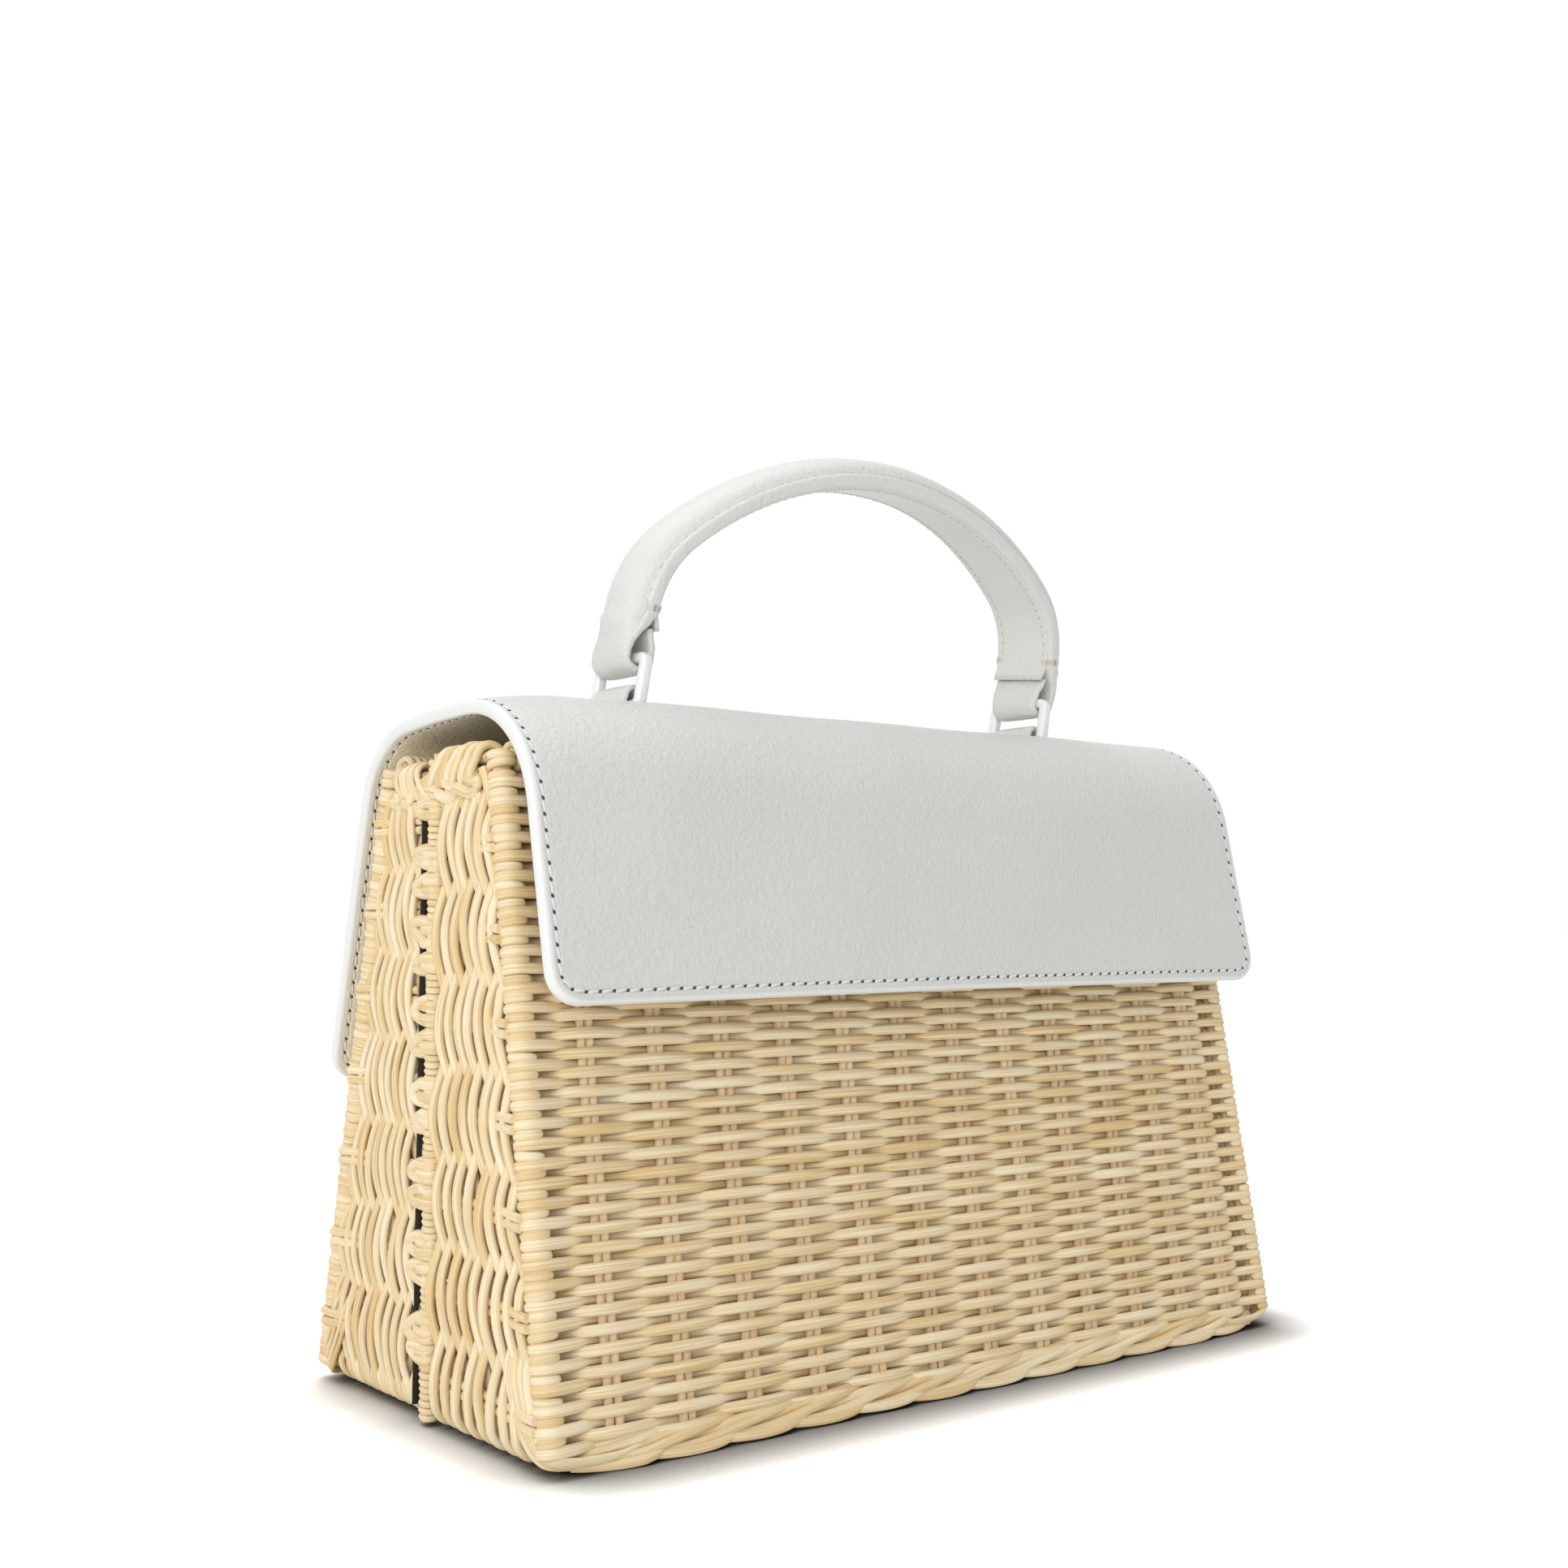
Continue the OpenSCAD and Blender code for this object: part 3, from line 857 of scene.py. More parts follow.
@dataclass
class Woven:
    """A sub-assembly of the basket.

    Attributes:
        shop: the workshop that makes its pieces.
        sizes: sizes of the basket.
        half: its half of the basket.
        side: its side of the basket, where it has one.
    """

    shop: Workshop
    sizes: BasketSizes
    half: Half = Half.FRONT
    side: Side = Side.LEFT

    def depth_x(self, n: Number) -> Number:
        """X at a depth inwards from the side's outer plane."""
        return self.side.value * (self.sizes.width / 2 - n)


@dataclass
class FaceWall(Woven):
    """A woven front or rear wall: stakes and rows of weavers that turn round the posts.

    Attributes:
        fullness: thickness of the weavers over their usual one.
        sharp: form of their wave, where less than 1 flattens its tops.
        steps: points of a weaver from stake to stake.
        wander: how far a weaver leaves its height.
        stake_shift: distance of a pair's stakes from their middle.
    """

    fullness: float = 1.0
    sharp: float = 0.8
    steps: int = 9
    wander: float = 0.1
    stake_shift: float = 1.38

    def build(self) -> list[Object]:
        """Makes the weavers and the stakes.

        Returns:
            The two pieces.
        """
        z, word = self.sizes, self.half.word
        weavers, stakes = Strands(self.half.pick(11, 12)), Strands(13)
        for j, s in enumerate(z.rows(self.half)):
            self._row(weavers, j, s)
        top = z.wall_top(self.half) + 1.0
        for x in z.stakes:
            for shift in (-self.stake_shift, self.stake_shift):
                s = np.linspace(z.stake_foot + stakes.random.uniform(-0.5, 0.5), top, 30)
                bend = np.interp(s, np.linspace(s[0], s[-1], 9), stakes.random.normal(0, 0.14, 9))
                points = z.on_wall(self.half, x + shift + bend, z.wall_t / 2, s)
                stakes.add(points, stakes.random.uniform(1.32, 1.48), z.wall_out(self.half))
        return [self.shop.tubes(f"{word}_weave", weavers, REED, 7, z.flatness),
                self.shop.tubes(f"{word}_stakes", stakes, STAKE_REED, 8, 0.8)]

    def _row(self, strands: Strands, j: int, s: float) -> None:
        """Adds one row.

        Args:
            strands: where it goes.
            j: its number from the foot.
            s: its height along the wall.
        """
        z, rng = self.sizes, strands.random
        post_x = z.width / 2 - z.post_r
        marks = np.concatenate([[-post_x], z.stakes, [post_x]])
        over = (np.arange(len(marks)) + j) % 2 == 0
        levels = z.wall_t / 2 + np.where(over, -z.swing, z.swing)
        levels[[0, -1]] = z.post_r + np.where(over[[0, -1]], -z.turn_r, z.turn_r)
        x = np.linspace(-post_x, post_x, (len(marks) - 1) * self.steps + 1)
        front = wave(x, marks, over.astype(float), self.sharp)
        lift = rng.normal(0, 0.05) + self.wander * np.interp(x, marks, rng.normal(0, 1, len(marks)))
        radius = z.reed_at(front) * rng.uniform(0.97, 1.04) * self.fullness
        points = z.on_wall(self.half, x, wave(x, marks, levels, self.sharp), s + lift)
        bends = np.radians(np.arange(15, 226, 15.0))
        for end, sign in ((0, -1), (-1, 1)):
            if not over[end]:
                continue
            turn = z.on_wall(self.half, sign * (post_x + z.turn_r * np.sin(bends)),
                             z.post_r - z.turn_r * np.cos(bends), s + lift[end])
            points = np.vstack([turn[::-1], points] if end == 0 else [points, turn])
            radius = np.pad(radius, (len(bends), 0) if end == 0 else (0, len(bends)), "edge")
        strands.add(points, radius, self._outward(points))

    def _outward(self, points: Array) -> Array:
        """Flat side of a weaver: away from the wall, or from the post where it turns.

        Args:
            points: points of the weaver.

        Returns:
            One direction for each point.
        """
        run = np.gradient(points, axis=0)
        run /= np.linalg.norm(run, axis=1, keepdims=True)
        a = self.sizes.lean(self.half)
        up = np.array([0.0, -self.half.value * math.sin(a), math.cos(a)])
        return np.cross(run, up) * self.half.value


@dataclass
class Post(Woven):
    """A corner post: a core, packing wraps between the weavers, and strands that sweep round its foot.

    Attributes:
        core_foot: height along the post where the core starts.
        core_rise: how far the core stands above the wall's rows.
        core_share: its thickness, as a share of the weavers' turn.
        cap_rises: heights of the last wraps above the wall's rows.
        wrap_end: angle where a wrap ends, in degrees.
        sweeps: number of strands round the foot.
        first_sweep: distance of the first one from the post.
        sweep_path: rows of depth from the side, depth from the face, its share of the strand's
            distance, height, and how much lower each next strand lies.
    """

    core_foot: float = 8.5
    core_rise: float = 5.0
    core_share: float = 0.92
    cap_rises: tuple[float, ...] = (1.8, 4.4)
    wrap_end: float = 235.0
    sweeps: int = 4
    first_sweep: float = 0.7
    sweep_path: tuple[tuple[float, ...], ...] = (
        (3.8, 8.6, 1.0, 30.0, 0.0), (1.6, 8.2, 1.0, 24.0, 0.0), (1.1, 6.7, 0.9, 16.0, 0.0),
        (1.3, 4.2, 0.75, 9.6, 0.6), (3.2, 1.9, 0.55, 5.7, 0.75), (8.0, 1.1, 0.38, 4.1, 0.6),
        (15.0, 0.9, 0.34, 3.6, 0.55), (22.6, 1.0, 0.36, 3.6, 0.52), (30.0, 1.8, 0.4, 4.6, 0.4),
        (38.0, 4.0, 0.3, 6.2, 0.3))

    def build(self) -> Object:
        """Makes the core, the wraps and the sweeps.

        Returns:
            The piece.
        """
        z, sign, count = self.sizes, self.side.value, 20
        strands = Strands(21 + sign + 3 * self.half.value)
        rng = strands.random
        top = z.wall_top(self.half)
        x0 = self.depth_x(z.post_r)
        core = z.on_wall(self.half, x0, z.post_r, np.linspace(self.core_foot, top + self.core_rise, count))
        strands.add(core, z.turn_r * self.core_share, z.wall_out(self.half))
        end = 0 if self.side is Side.LEFT else z.stake_count + 1
        heights = [s for j, s in enumerate(z.rows(self.half)) if (end + j) % 2]
        for s in heights + [top + rise for rise in self.cap_rises]:
            bends = np.radians(np.linspace(rng.uniform(-50, -34), self.wrap_end, count))
            points = z.on_wall(self.half, x0 + sign * z.turn_r * np.sin(bends),
                               z.post_r - z.turn_r * np.cos(bends), s + rng.normal(0, 0.1))
            points[:, 2] += rng.normal(0, 0.35) * np.linspace(-1, 1, count)
            away = points - z.on_wall(self.half, x0, z.post_r, s)
            strands.add(points, z.float_reed * rng.uniform(0.84, 0.99), away, None, True)
        self._foot(strands)
        name = f"{self.half.word}_{self.side.word}_post_wraps"
        return self.shop.tubes(name, strands, REED, 8, z.flatness)

    def _foot(self, strands: Strands) -> None:
        """Adds the strands that come down the side and sweep round the corner into the border.

        Args:
            strands: where they go.
        """
        z = self.sizes
        inset, face, share, height, drop = np.array(self.sweep_path).T
        away = [self.side.value * 0.7, self.half.value * 0.7, -0.4]
        for i in range(self.sweeps):
            gap = self.first_sweep + z.gusset_pitch * i
            path = spline(np.column_stack([inset, face + share * gap, height - drop * i]), 6)
            y = z.depth / 2 - path[:, 1] - path[:, 2] * math.tan(z.lean(self.half))
            points = points_of(self.depth_x(path[:, 0]), self.half.value * y, path[:, 2])
            strands.add(points, z.reed * strands.random.uniform(1.0, 1.12), away)


@dataclass
class Gusset(Woven):
    """One half of a side: upright strands over cross stakes, rolled over a rim and under the base.

    Attributes:
        foot_r: radius of the strands' roll under the base.
        foot_z: height where it starts.
        foot_lift: how far it stays above the table.
        seam_lap: distance of the first strand from the seam's edge.
        post_gap: gap between the last strand and the post.
        tail: how far a strand runs up beside the post before it ends.
        tuck_run: length of the tail's last stretch, which goes in behind the others.
        tuck_depth: how deep it goes.
        rear_stake_rise: how much higher the rear half's cross stakes sit.
        taper: share of the spacing that the strands lose towards the rim.
        rear_pitch: spacing of the rear half's strands over the front half's.
        stake_shift: distance of a pair's cross stakes from their middle.
        stake_ends: how the last points of a cross stake come out beside the post.
    """

    foot_r: float = 6.5
    foot_z: float = 8.0
    foot_lift: float = 0.4
    seam_lap: float = 1.4
    post_gap: float = 0.4
    tail: float = 15.0
    tuck_run: float = 9.0
    tuck_depth: float = 2.6
    rear_stake_rise: float = 7.0
    taper: float = 0.22
    rear_pitch: float = 0.8
    stake_shift: float = 1.35
    stake_ends: tuple[float, ...] = (-0.1, -0.6, -1.4, -2.2, -2.9, -3.3)

    @property
    def edge(self) -> float:
        """Y of the edge at the seam."""
        z = self.sizes
        return self.half.pick(z.seam_y - z.seam_r - z.clear, z.seam_rear)

    def pitch(self, h: Number) -> Number:
        """Spacing of the strands at heights, which spread towards the base."""
        full = self.sizes.gusset_pitch * self.half.pick(1.0, self.rear_pitch)
        return full * (1 - self.taper * h / self.sizes.gusset_rim_z)

    def build(self) -> Object:
        """Makes the strands, the cross stakes and the rim's loops.

        Returns:
            The piece.
        """
        z = self.sizes
        strands = Strands(31 + self.side.value + 3 * self.half.value)
        rim_z = self.half.pick(z.gusset_rim_z, z.rear_gusset_rim_z)
        first = z.gusset_first_stake + self.half.pick(0.0, self.rear_stake_rise)
        levels = first + z.gusset_stake_gap * np.arange(-1, 9)
        count = int((abs(z.post_y(self.half, 0.0)) - abs(self.edge)) / self.pitch(0.0))
        for i in range(count):
            self._strand(strands, i, levels, rim_z - 3.0)
        self._stakes(strands, levels, rim_z - 6.0)
        self._rim(strands, rim_z)
        name = f"{self.half.word}_{self.side.word}_gusset_weave"
        return self.shop.tubes(name, strands, REED, 8, z.flatness)

    def _strand(self, strands: Strands, i: int, levels: Array, top: float) -> None:
        """Adds one upright strand.

        Args:
            strands: where it goes.
            i: its number from the seam.
            levels: heights of the cross stakes.
            top: height where it ends under the rim.
        """
        z, rng, foot = self.sizes, strands.random, self.foot_z

        def across(h: Array) -> tuple[Array, Array]:
            """Distances of the strand's own place and of the post from the middle, at heights."""
            own = abs(self.edge) + self.seam_lap + i * self.pitch(h)
            return own, np.abs(z.post_y(self.half, h)) - self.post_gap

        full = np.linspace(foot, top, 80)
        clear = np.less(*across(full))
        if not clear[2]:
            return
        end = min(top, full[clear].max() + self.tail)
        h = np.linspace(foot, end, max(8, int((end - foot) / 2.4)))
        y = self.half.value * np.minimum(*across(h))
        y = y + np.interp(h, np.linspace(foot, end, 7), rng.normal(0, 0.2, 7))
        over = (np.arange(len(levels)) + i) % 2 == 0
        marks = levels + rng.normal(0, 1.3, len(levels))
        swing = z.gusset_swing * rng.uniform(0.88, 1.0, len(levels))
        n = wave(h, marks, z.gusset_mid + np.where(over, -swing, swing))
        share = wave(h, marks, over.astype(float))
        y = y + z.gusset_sway * (2 * share - 1)
        if end < top:
            n = n + np.clip((h - end + self.tuck_run) / self.tuck_run, 0, 1) * self.tuck_depth
        roll = np.radians(np.linspace(90, 8, 8))[:0:-1]
        under = points_of(self.depth_x(n[0] + self.foot_r * (1 - np.sin(roll))), y[0],
                          foot - (self.foot_r - self.foot_lift) * np.cos(roll))
        points = np.vstack([under, points_of(self.depth_x(n), y, h)])
        radius = np.pad(z.reed_at(share), (len(roll), 0), "edge")
        radius = radius * rng.uniform(*self.half.pick((1.08, 1.18), (0.94, 1.04)))
        run = np.gradient(points, axis=0)
        strands.add(points, radius, np.cross(run, [0.0, -self.side.value, 0.0]))

    def _stakes(self, strands: Strands, levels: Array, top: float) -> None:
        """Adds the pairs of cross stakes, which come out round the post.

        Args:
            strands: where they go.
            levels: their heights.
            top: height above which there is none.
        """
        z, toward, count = self.sizes, self.half.value, 14
        deep = np.full(count, z.gusset_mid)
        deep[-len(self.stake_ends):] += np.array(self.stake_ends)
        for level in levels[(levels > self.foot_z) & (levels < top)]:
            for shift in (-self.stake_shift, self.stake_shift):
                far = z.post_y(self.half, level) + toward * 4.4
                height = level + shift + strands.random.normal(0, 0.1, count)
                points = points_of(self.depth_x(deep), np.linspace(self.edge + toward, far, count), height)
                strands.add(points, z.reed * 1.02, [self.side.value, 0, 0])

    def _rim(self, strands: Strands, rim_z: float) -> None:
        """Adds the loops that roll the strands over the top rod, and the twisted reeds under them.

        Args:
            strands: where they go.
            rim_z: height of the rim's middle.
        """
        z, rng, toward, count = self.sizes, strands.random, self.half.value, 20
        core_r, loop_low, loop_spread, odd_more, tail_out = 2.4, 3.1, 0.7, 0.35, 2.6
        span = z.post_y(self.half, rim_z + z.rim_r) - toward * 0.3 - self.edge
        x0 = self.depth_x(z.rim_r)
        strands.add(points_of(x0, np.linspace(self.edge, self.edge + span, 6), rim_z), core_r, [0, 0, 1])
        turns = max(6, int(abs(span) / self.half.pick(4.7, 2.4)))
        loop_r = z.float_reed * self.half.pick(1.12, 0.84)
        angle = np.linspace(-75, 205, count)
        bends = np.radians(angle)
        tail = np.clip(-angle / 75, 0, 1)
        for i in range(turns):
            r = loop_low + rng.uniform(0.0, loop_spread) + (odd_more if i % 2 else 0.0)
            lean = toward * rng.uniform(3.0, 5.0) * (np.linspace(-0.4, 0.6, count) - 0.9 * tail)
            y = self.edge + span * (i + 0.5) / turns + lean
            x = x0 + self.side.value * (r * np.cos(bends) + tail_out * tail)
            points = points_of(x, y, rim_z + r * np.sin(bends) - tail_out * tail ** 1.5)
            axis = points_of(x0, y, points[:, 2] * tail + rim_z * (1 - tail))
            strands.add(points, loop_r * rng.uniform(0.9, 1.05), points - axis, None, True)
        share = np.linspace(0.04, 0.98, 16)
        for i, drop in enumerate((6.6, 9.6)):
            n = 1.5 + 0.9 * np.cos(share * 4 * np.pi + i * np.pi)
            height = rim_z - drop + 1.1 * np.sin(share * 4 * np.pi + i * 2.0) + 1.5 * share
            points = points_of(self.depth_x(n), self.edge + span * share, height)
            strands.add(points, z.float_reed * 1.2, [self.side.value, 0, 0], None, True)


@dataclass
class Backing(Woven):
    """Thin sheets of painted shade behind the strands of one side: brown painted shade behind the strands,
    dark painted shade behind the seam's gap.

    Attributes:
        deep: depth of the brown sheets inwards from the side's outer plane.
        dark_deep: depth of the dark sheet.
        strip_deep: depth where the dark strip inside the gap starts.
        top_gap: distance of the upper edges below the rim's middle.
        post_lap: how far the sheets stay off the posts.
    """

    deep: float = 7.9
    dark_deep: float = 6.4
    strip_deep: float = 2.2
    thick: float = 0.5
    foot: float = 4.0
    top_gap: float = 7.0
    post_lap: float = 0.6

    def build(self) -> list[Object]:
        """Makes the sheets.

        Returns:
            The front, rear and seam sheets of painted shade, and the strip of dark painted shade inside the
            gap.
        """
        z = self.sizes
        height = np.linspace(self.foot, z.gusset_rim_z - self.top_gap, 12)
        front = z.post_y(Half.FRONT, height) + self.post_lap
        rear = z.post_y(Half.REAR, height) - self.post_lap
        seam_front, seam_rear, gap = z.seam_y - z.seam_r, z.seam_rear + 1.6, z.seam_rear - 0.6
        brown = (self.deep, self.deep + self.thick)
        dark = (self.dark_deep, self.dark_deep + self.thick)
        pieces = []
        # Brown painted shade behind the strands, and dark painted shade behind the seam and inside its gap.
        for word, low, high, depths, finish in (
                ("front", front, seam_front, brown, BROWN_PAINTED_SHADE),
                ("rear", seam_rear, rear, brown, BROWN_PAINTED_SHADE),
                ("seam", seam_front + 1.0, seam_rear + 9.0, dark, DARK_PAINTED_SHADE),
                ("gap", gap, gap + self.thick, (self.strip_deep, self.dark_deep), DARK_PAINTED_SHADE)):
            out, back = (self.depth_x(depth) for depth in depths)
            edges = ((out, low), (out, high), (back, high), (back, low))
            rings = np.stack([points_of(x, y, height) for x, y in edges], 1)[::self.side.value]
            pieces.append(self.shop.solid(lofted(f"{self.side.word}_{word}_backing", rings), finish))
        return pieces


@dataclass
class Seam(Woven):
    """The wrapped rod on the rear edge of the front half, and the knots that lace the halves.

    Attributes:
        knots: number of pairs of knots.
        wrap_r: radius of the rod's wrap.
        wrap_pitch: height of one turn.
        low_knot: height of the lowest pair's stretch.
    """

    knots: int = 8
    wrap_r: float = 1.0
    wrap_pitch: float = 1.9
    steps: int = 12
    low_knot: float = 12.0

    def build(self) -> list[Object]:
        """Makes the rod and the knots.

        Returns:
            The two pieces.
        """
        z, sign, word = self.sizes, self.side.value, self.side.word
        rod, lacing = Strands(41 + sign), Strands(45 + sign)
        x0 = self.depth_x(z.seam_r)
        height = z.gusset_rim_z + z.rim_r - 1.0
        core = points_of(x0, z.seam_y, np.linspace(1.2, height - 0.6, 12))
        rod.add(core, z.seam_r - self.wrap_r, [sign, 0, 0])
        turns = int((height - 2.4) / self.wrap_pitch)
        angle = np.arange(turns * self.steps + 1) * FULL_TURN / self.steps
        marks = np.arange(0, angle[-1] + 7, FULL_TURN)
        wobble = np.interp(angle, marks, rod.random.normal(0, 0.12, int(angle[-1] / FULL_TURN) + 2))
        r = z.seam_r - self.wrap_r * 0.85 + wobble
        rise = 1.4 + angle / FULL_TURN * self.wrap_pitch + 0.6 * np.sin(angle)
        points = points_of(x0 + r * np.cos(angle), z.seam_y + r * np.sin(angle), rise)
        rod.add(points, self.wrap_r, points_of(np.cos(angle), np.sin(angle), 0.0), 0.6)
        step = (z.gusset_rim_z - 10) / self.knots
        for i in range(self.knots):
            level = self.low_knot + (i + 0.5) * step
            self._knot(lacing, level + 3.6, 1.0)
            self._knot(lacing, level - 3.9, 0.9)
        return [self.shop.tubes(f"{word}_seam_wraps", rod, REED, 6, 0.85),
                self.shop.tubes(f"{word}_lacing", lacing, REED, 8, 0.85)]

    def _knot(self, strands: Strands, level: float, size: float) -> None:
        """Adds one open loop from the rod round the rear half's edge, and the two bars that it hangs on.

        Args:
            strands: where they go.
            level: height of its middle.
            size: share of the full loop.
        """
        z, rng = self.sizes, strands.random
        out = [self.side.value, 0, 0]
        reach = z.seam_r + z.seam_gap + 1.4
        bends = np.radians(np.linspace(rng.uniform(95, 135), rng.uniform(-150, -100), 20))
        wide = (reach - 0.6) * size * rng.uniform(0.9, 1.05)
        tall = rng.uniform(2.2, 3.2) * size
        skew = rng.uniform(-0.25, 0.25)
        y = z.seam_y + 0.6 + wide * np.maximum(np.cos(bends), -0.2)
        height = level + tall * np.sin(bends) + skew * (y - z.seam_y) + rng.normal(0, 0.4)
        n = 1.3 + 1.5 * (1 - np.cos(bends)) * 0.5 + rng.uniform(-0.2, 0.3)
        points = points_of(self.depth_x(n), y, height)
        strands.add(points, z.reed * rng.uniform(1.25, 1.5), out, None, True)
        share = np.linspace(0, 1, 9)
        bar_x = self.depth_x(1.0 + 4.2 * (share - 0.35) ** 2 * 2.0)
        bar_y = z.seam_y - 2.0 + (reach + 1.6) * size * share
        for shift in (-1.5, 1.3):
            rise = level + shift + rng.uniform(-0.5, 0.5) + rng.uniform(-0.8, 0.8) * share
            strands.add(points_of(bar_x, bar_y, rise), z.reed * rng.uniform(1.15, 1.35), out, None, True)


@dataclass
class Border(Woven):
    """The braided border along the bottom of a wall: reeds dip under one stake and pass over the next.

    Attributes:
        reeds: paths of each stake's reeds, as rows of gaps from the stake, depth and height.
        end: distance of the braid's ends from the side's outer plane.
        end_run: length in which the reeds sink in beside a post.
        end_depth: how deep they sink.
    """

    reeds: tuple[tuple[Triple, ...], ...] = (
        ((-1.05, 4.6, 3.4), (-0.62, 2.6, 2.7), (-0.3, 1.2, 2.4), (0.0, 0.9, 2.5), (0.35, 0.7, 3.2),
         (0.7, 0.5, 4.6), (1.0, 0.6, 5.6), (1.35, 1.6, 6.4), (1.7, 3.4, 6.9), (2.0, 4.8, 7.2)),
        ((-0.8, 4.9, 4.9), (-0.4, 3.2, 4.3), (-0.1, 2.3, 4.1), (0.25, 2.0, 4.7), (0.6, 1.5, 6.0),
         (0.95, 1.2, 7.0), (1.3, 2.2, 7.6), (1.65, 3.9, 8.0), (1.95, 5.2, 8.3)),
        ((-1.0, 3.4, 4.4), (-0.6, 1.3, 2.3), (-0.25, 0.2, 1.6), (0.1, -0.2, 1.5), (0.4, 0.2, 2.0),
         (0.7, 1.5, 3.6), (1.0, 3.4, 5.8)))
    end: float = 9.0
    end_run: float = 20.0
    end_depth: float = 4.0

    def build(self) -> Object:
        """Makes the reeds of each stake.

        Returns:
            The piece.
        """
        z = self.sizes
        strands = Strands(self.half.pick(51, 52))
        for k in range(-1, z.stake_count + 1):
            for bends in self.reeds:
                self._reed(strands, (k - (z.stake_count - 1) / 2) * z.stake_gap, np.array(bends))
        return self.shop.tubes(f"{self.half.word}_border_braid", strands, REED, 8, 0.85)

    def _reed(self, strands: Strands, x_mid: float, bends: Array) -> None:
        """Adds one reed, cut off at the posts.

        Args:
            strands: where it goes.
            x_mid: place of its stake.
            bends: rows of gaps from the stake, depth and height.
        """
        z, rng = self.sizes, strands.random
        path = spline(bends, 6)
        x = x_mid + path[:, 0] * z.stake_gap + rng.normal(0, 0.4)
        edge = z.width / 2 - self.end
        keep = np.abs(x) < edge
        radius = z.float_reed * rng.uniform(0.78, 0.88)
        if keep.sum() < 8:
            return
        x = x[keep]
        near_post = np.clip(1 - (edge - np.abs(x)) / self.end_run, 0, 1)
        depth, height = path[keep, 1] + self.end_depth * near_post, path[keep, 2] + rng.normal(0, 0.12)
        y = z.depth / 2 - depth - height * math.tan(z.lean(self.half))
        points = points_of(x, self.half.value * y, np.maximum(height, radius * 0.9))
        strands.add(points, radius, z.wall_out(self.half))


@dataclass
class TopRim(Woven):
    """The rolled rim along the top of a wall.

    Attributes:
        core_gap: how far the rod lies under the rim's outer face.
        wrap_pitch: length of one turn of the wrap.
    """

    core_gap: float = 1.9
    wrap_pitch: float = 2.5
    steps: int = 12

    def build(self) -> Object:
        """Makes the rod and its wrap.

        Returns:
            The piece.
        """
        z = self.sizes
        strands = Strands(self.half.pick(61, 62))
        y0, z0 = self.half.pick(z.front_rim, z.rear_rim)
        half_w = z.inner_half + 1.0
        strands.add(points_of(np.linspace(-half_w, half_w, 24), y0, z0), z.rim_r - self.core_gap, [0, 0, 1])
        angle = np.arange(int(2 * half_w / self.wrap_pitch) * self.steps + 1) * FULL_TURN / self.steps
        r = z.rim_r - z.reed * 0.85
        x = -half_w + angle / FULL_TURN * self.wrap_pitch
        points = points_of(x, y0 + r * np.cos(angle), z0 + r * np.sin(angle))
        strands.add(points, z.reed * 1.05, points_of(0.0, np.cos(angle), np.sin(angle)), 0.6)
        return self.shop.tubes(f"{self.half.word}_rim_wrap", strands, REED, 6, 0.85)


@dataclass
class Base(Woven):
    """Half of the woven base.

    Attributes:
        stake_shifts: places of the three stakes of a group from its middle.
    """

    stake_r: float = 0.85
    stake_shifts: Triple = (-1.6, 0.0, 1.6)
    steps: int = 6

    def build(self) -> Object:
        """Makes the rows and the stakes.

        Returns:
            The piece.
        """
        z = self.sizes
        strands = Strands(self.half.pick(71, 72))
        rng = strands.random
        near = z.seam_y + self.half.value * 0.3
        far = self.half.value * (z.depth / 2 - z.border_d + 1.0)
        rows = int(abs(far - near) / z.pitch)
        marks = np.concatenate([[-z.inner_half], z.stakes, [z.inner_half]])
        x = np.linspace(-z.inner_half, z.inner_half, (len(marks) - 1) * self.steps + 1)
        mid = z.wall_t / 2
        for j in range(rows):
            over = (np.arange(len(marks)) + j) % 2 == 0
            height = wave(x, marks, mid + np.where(over, -z.swing, z.swing))
            y = near + (far - near) * (j + 0.5) / rows
            y = y + 0.2 * np.interp(x, marks, rng.normal(0, 1, len(marks)))
            strands.add(points_of(x, y, height), z.reed * rng.uniform(0.97, 1.1), [0, 0, -1])
        for mark in z.stakes:
            for shift in self.stake_shifts:
                points = points_of(mark + shift, np.linspace(near, far, 8), mid)
                strands.add(points, self.stake_r, [0, 0, -1])
        return self.shop.tubes(f"{self.half.word}_base_weave", strands, REED, 6, z.flatness)


# Leather cover


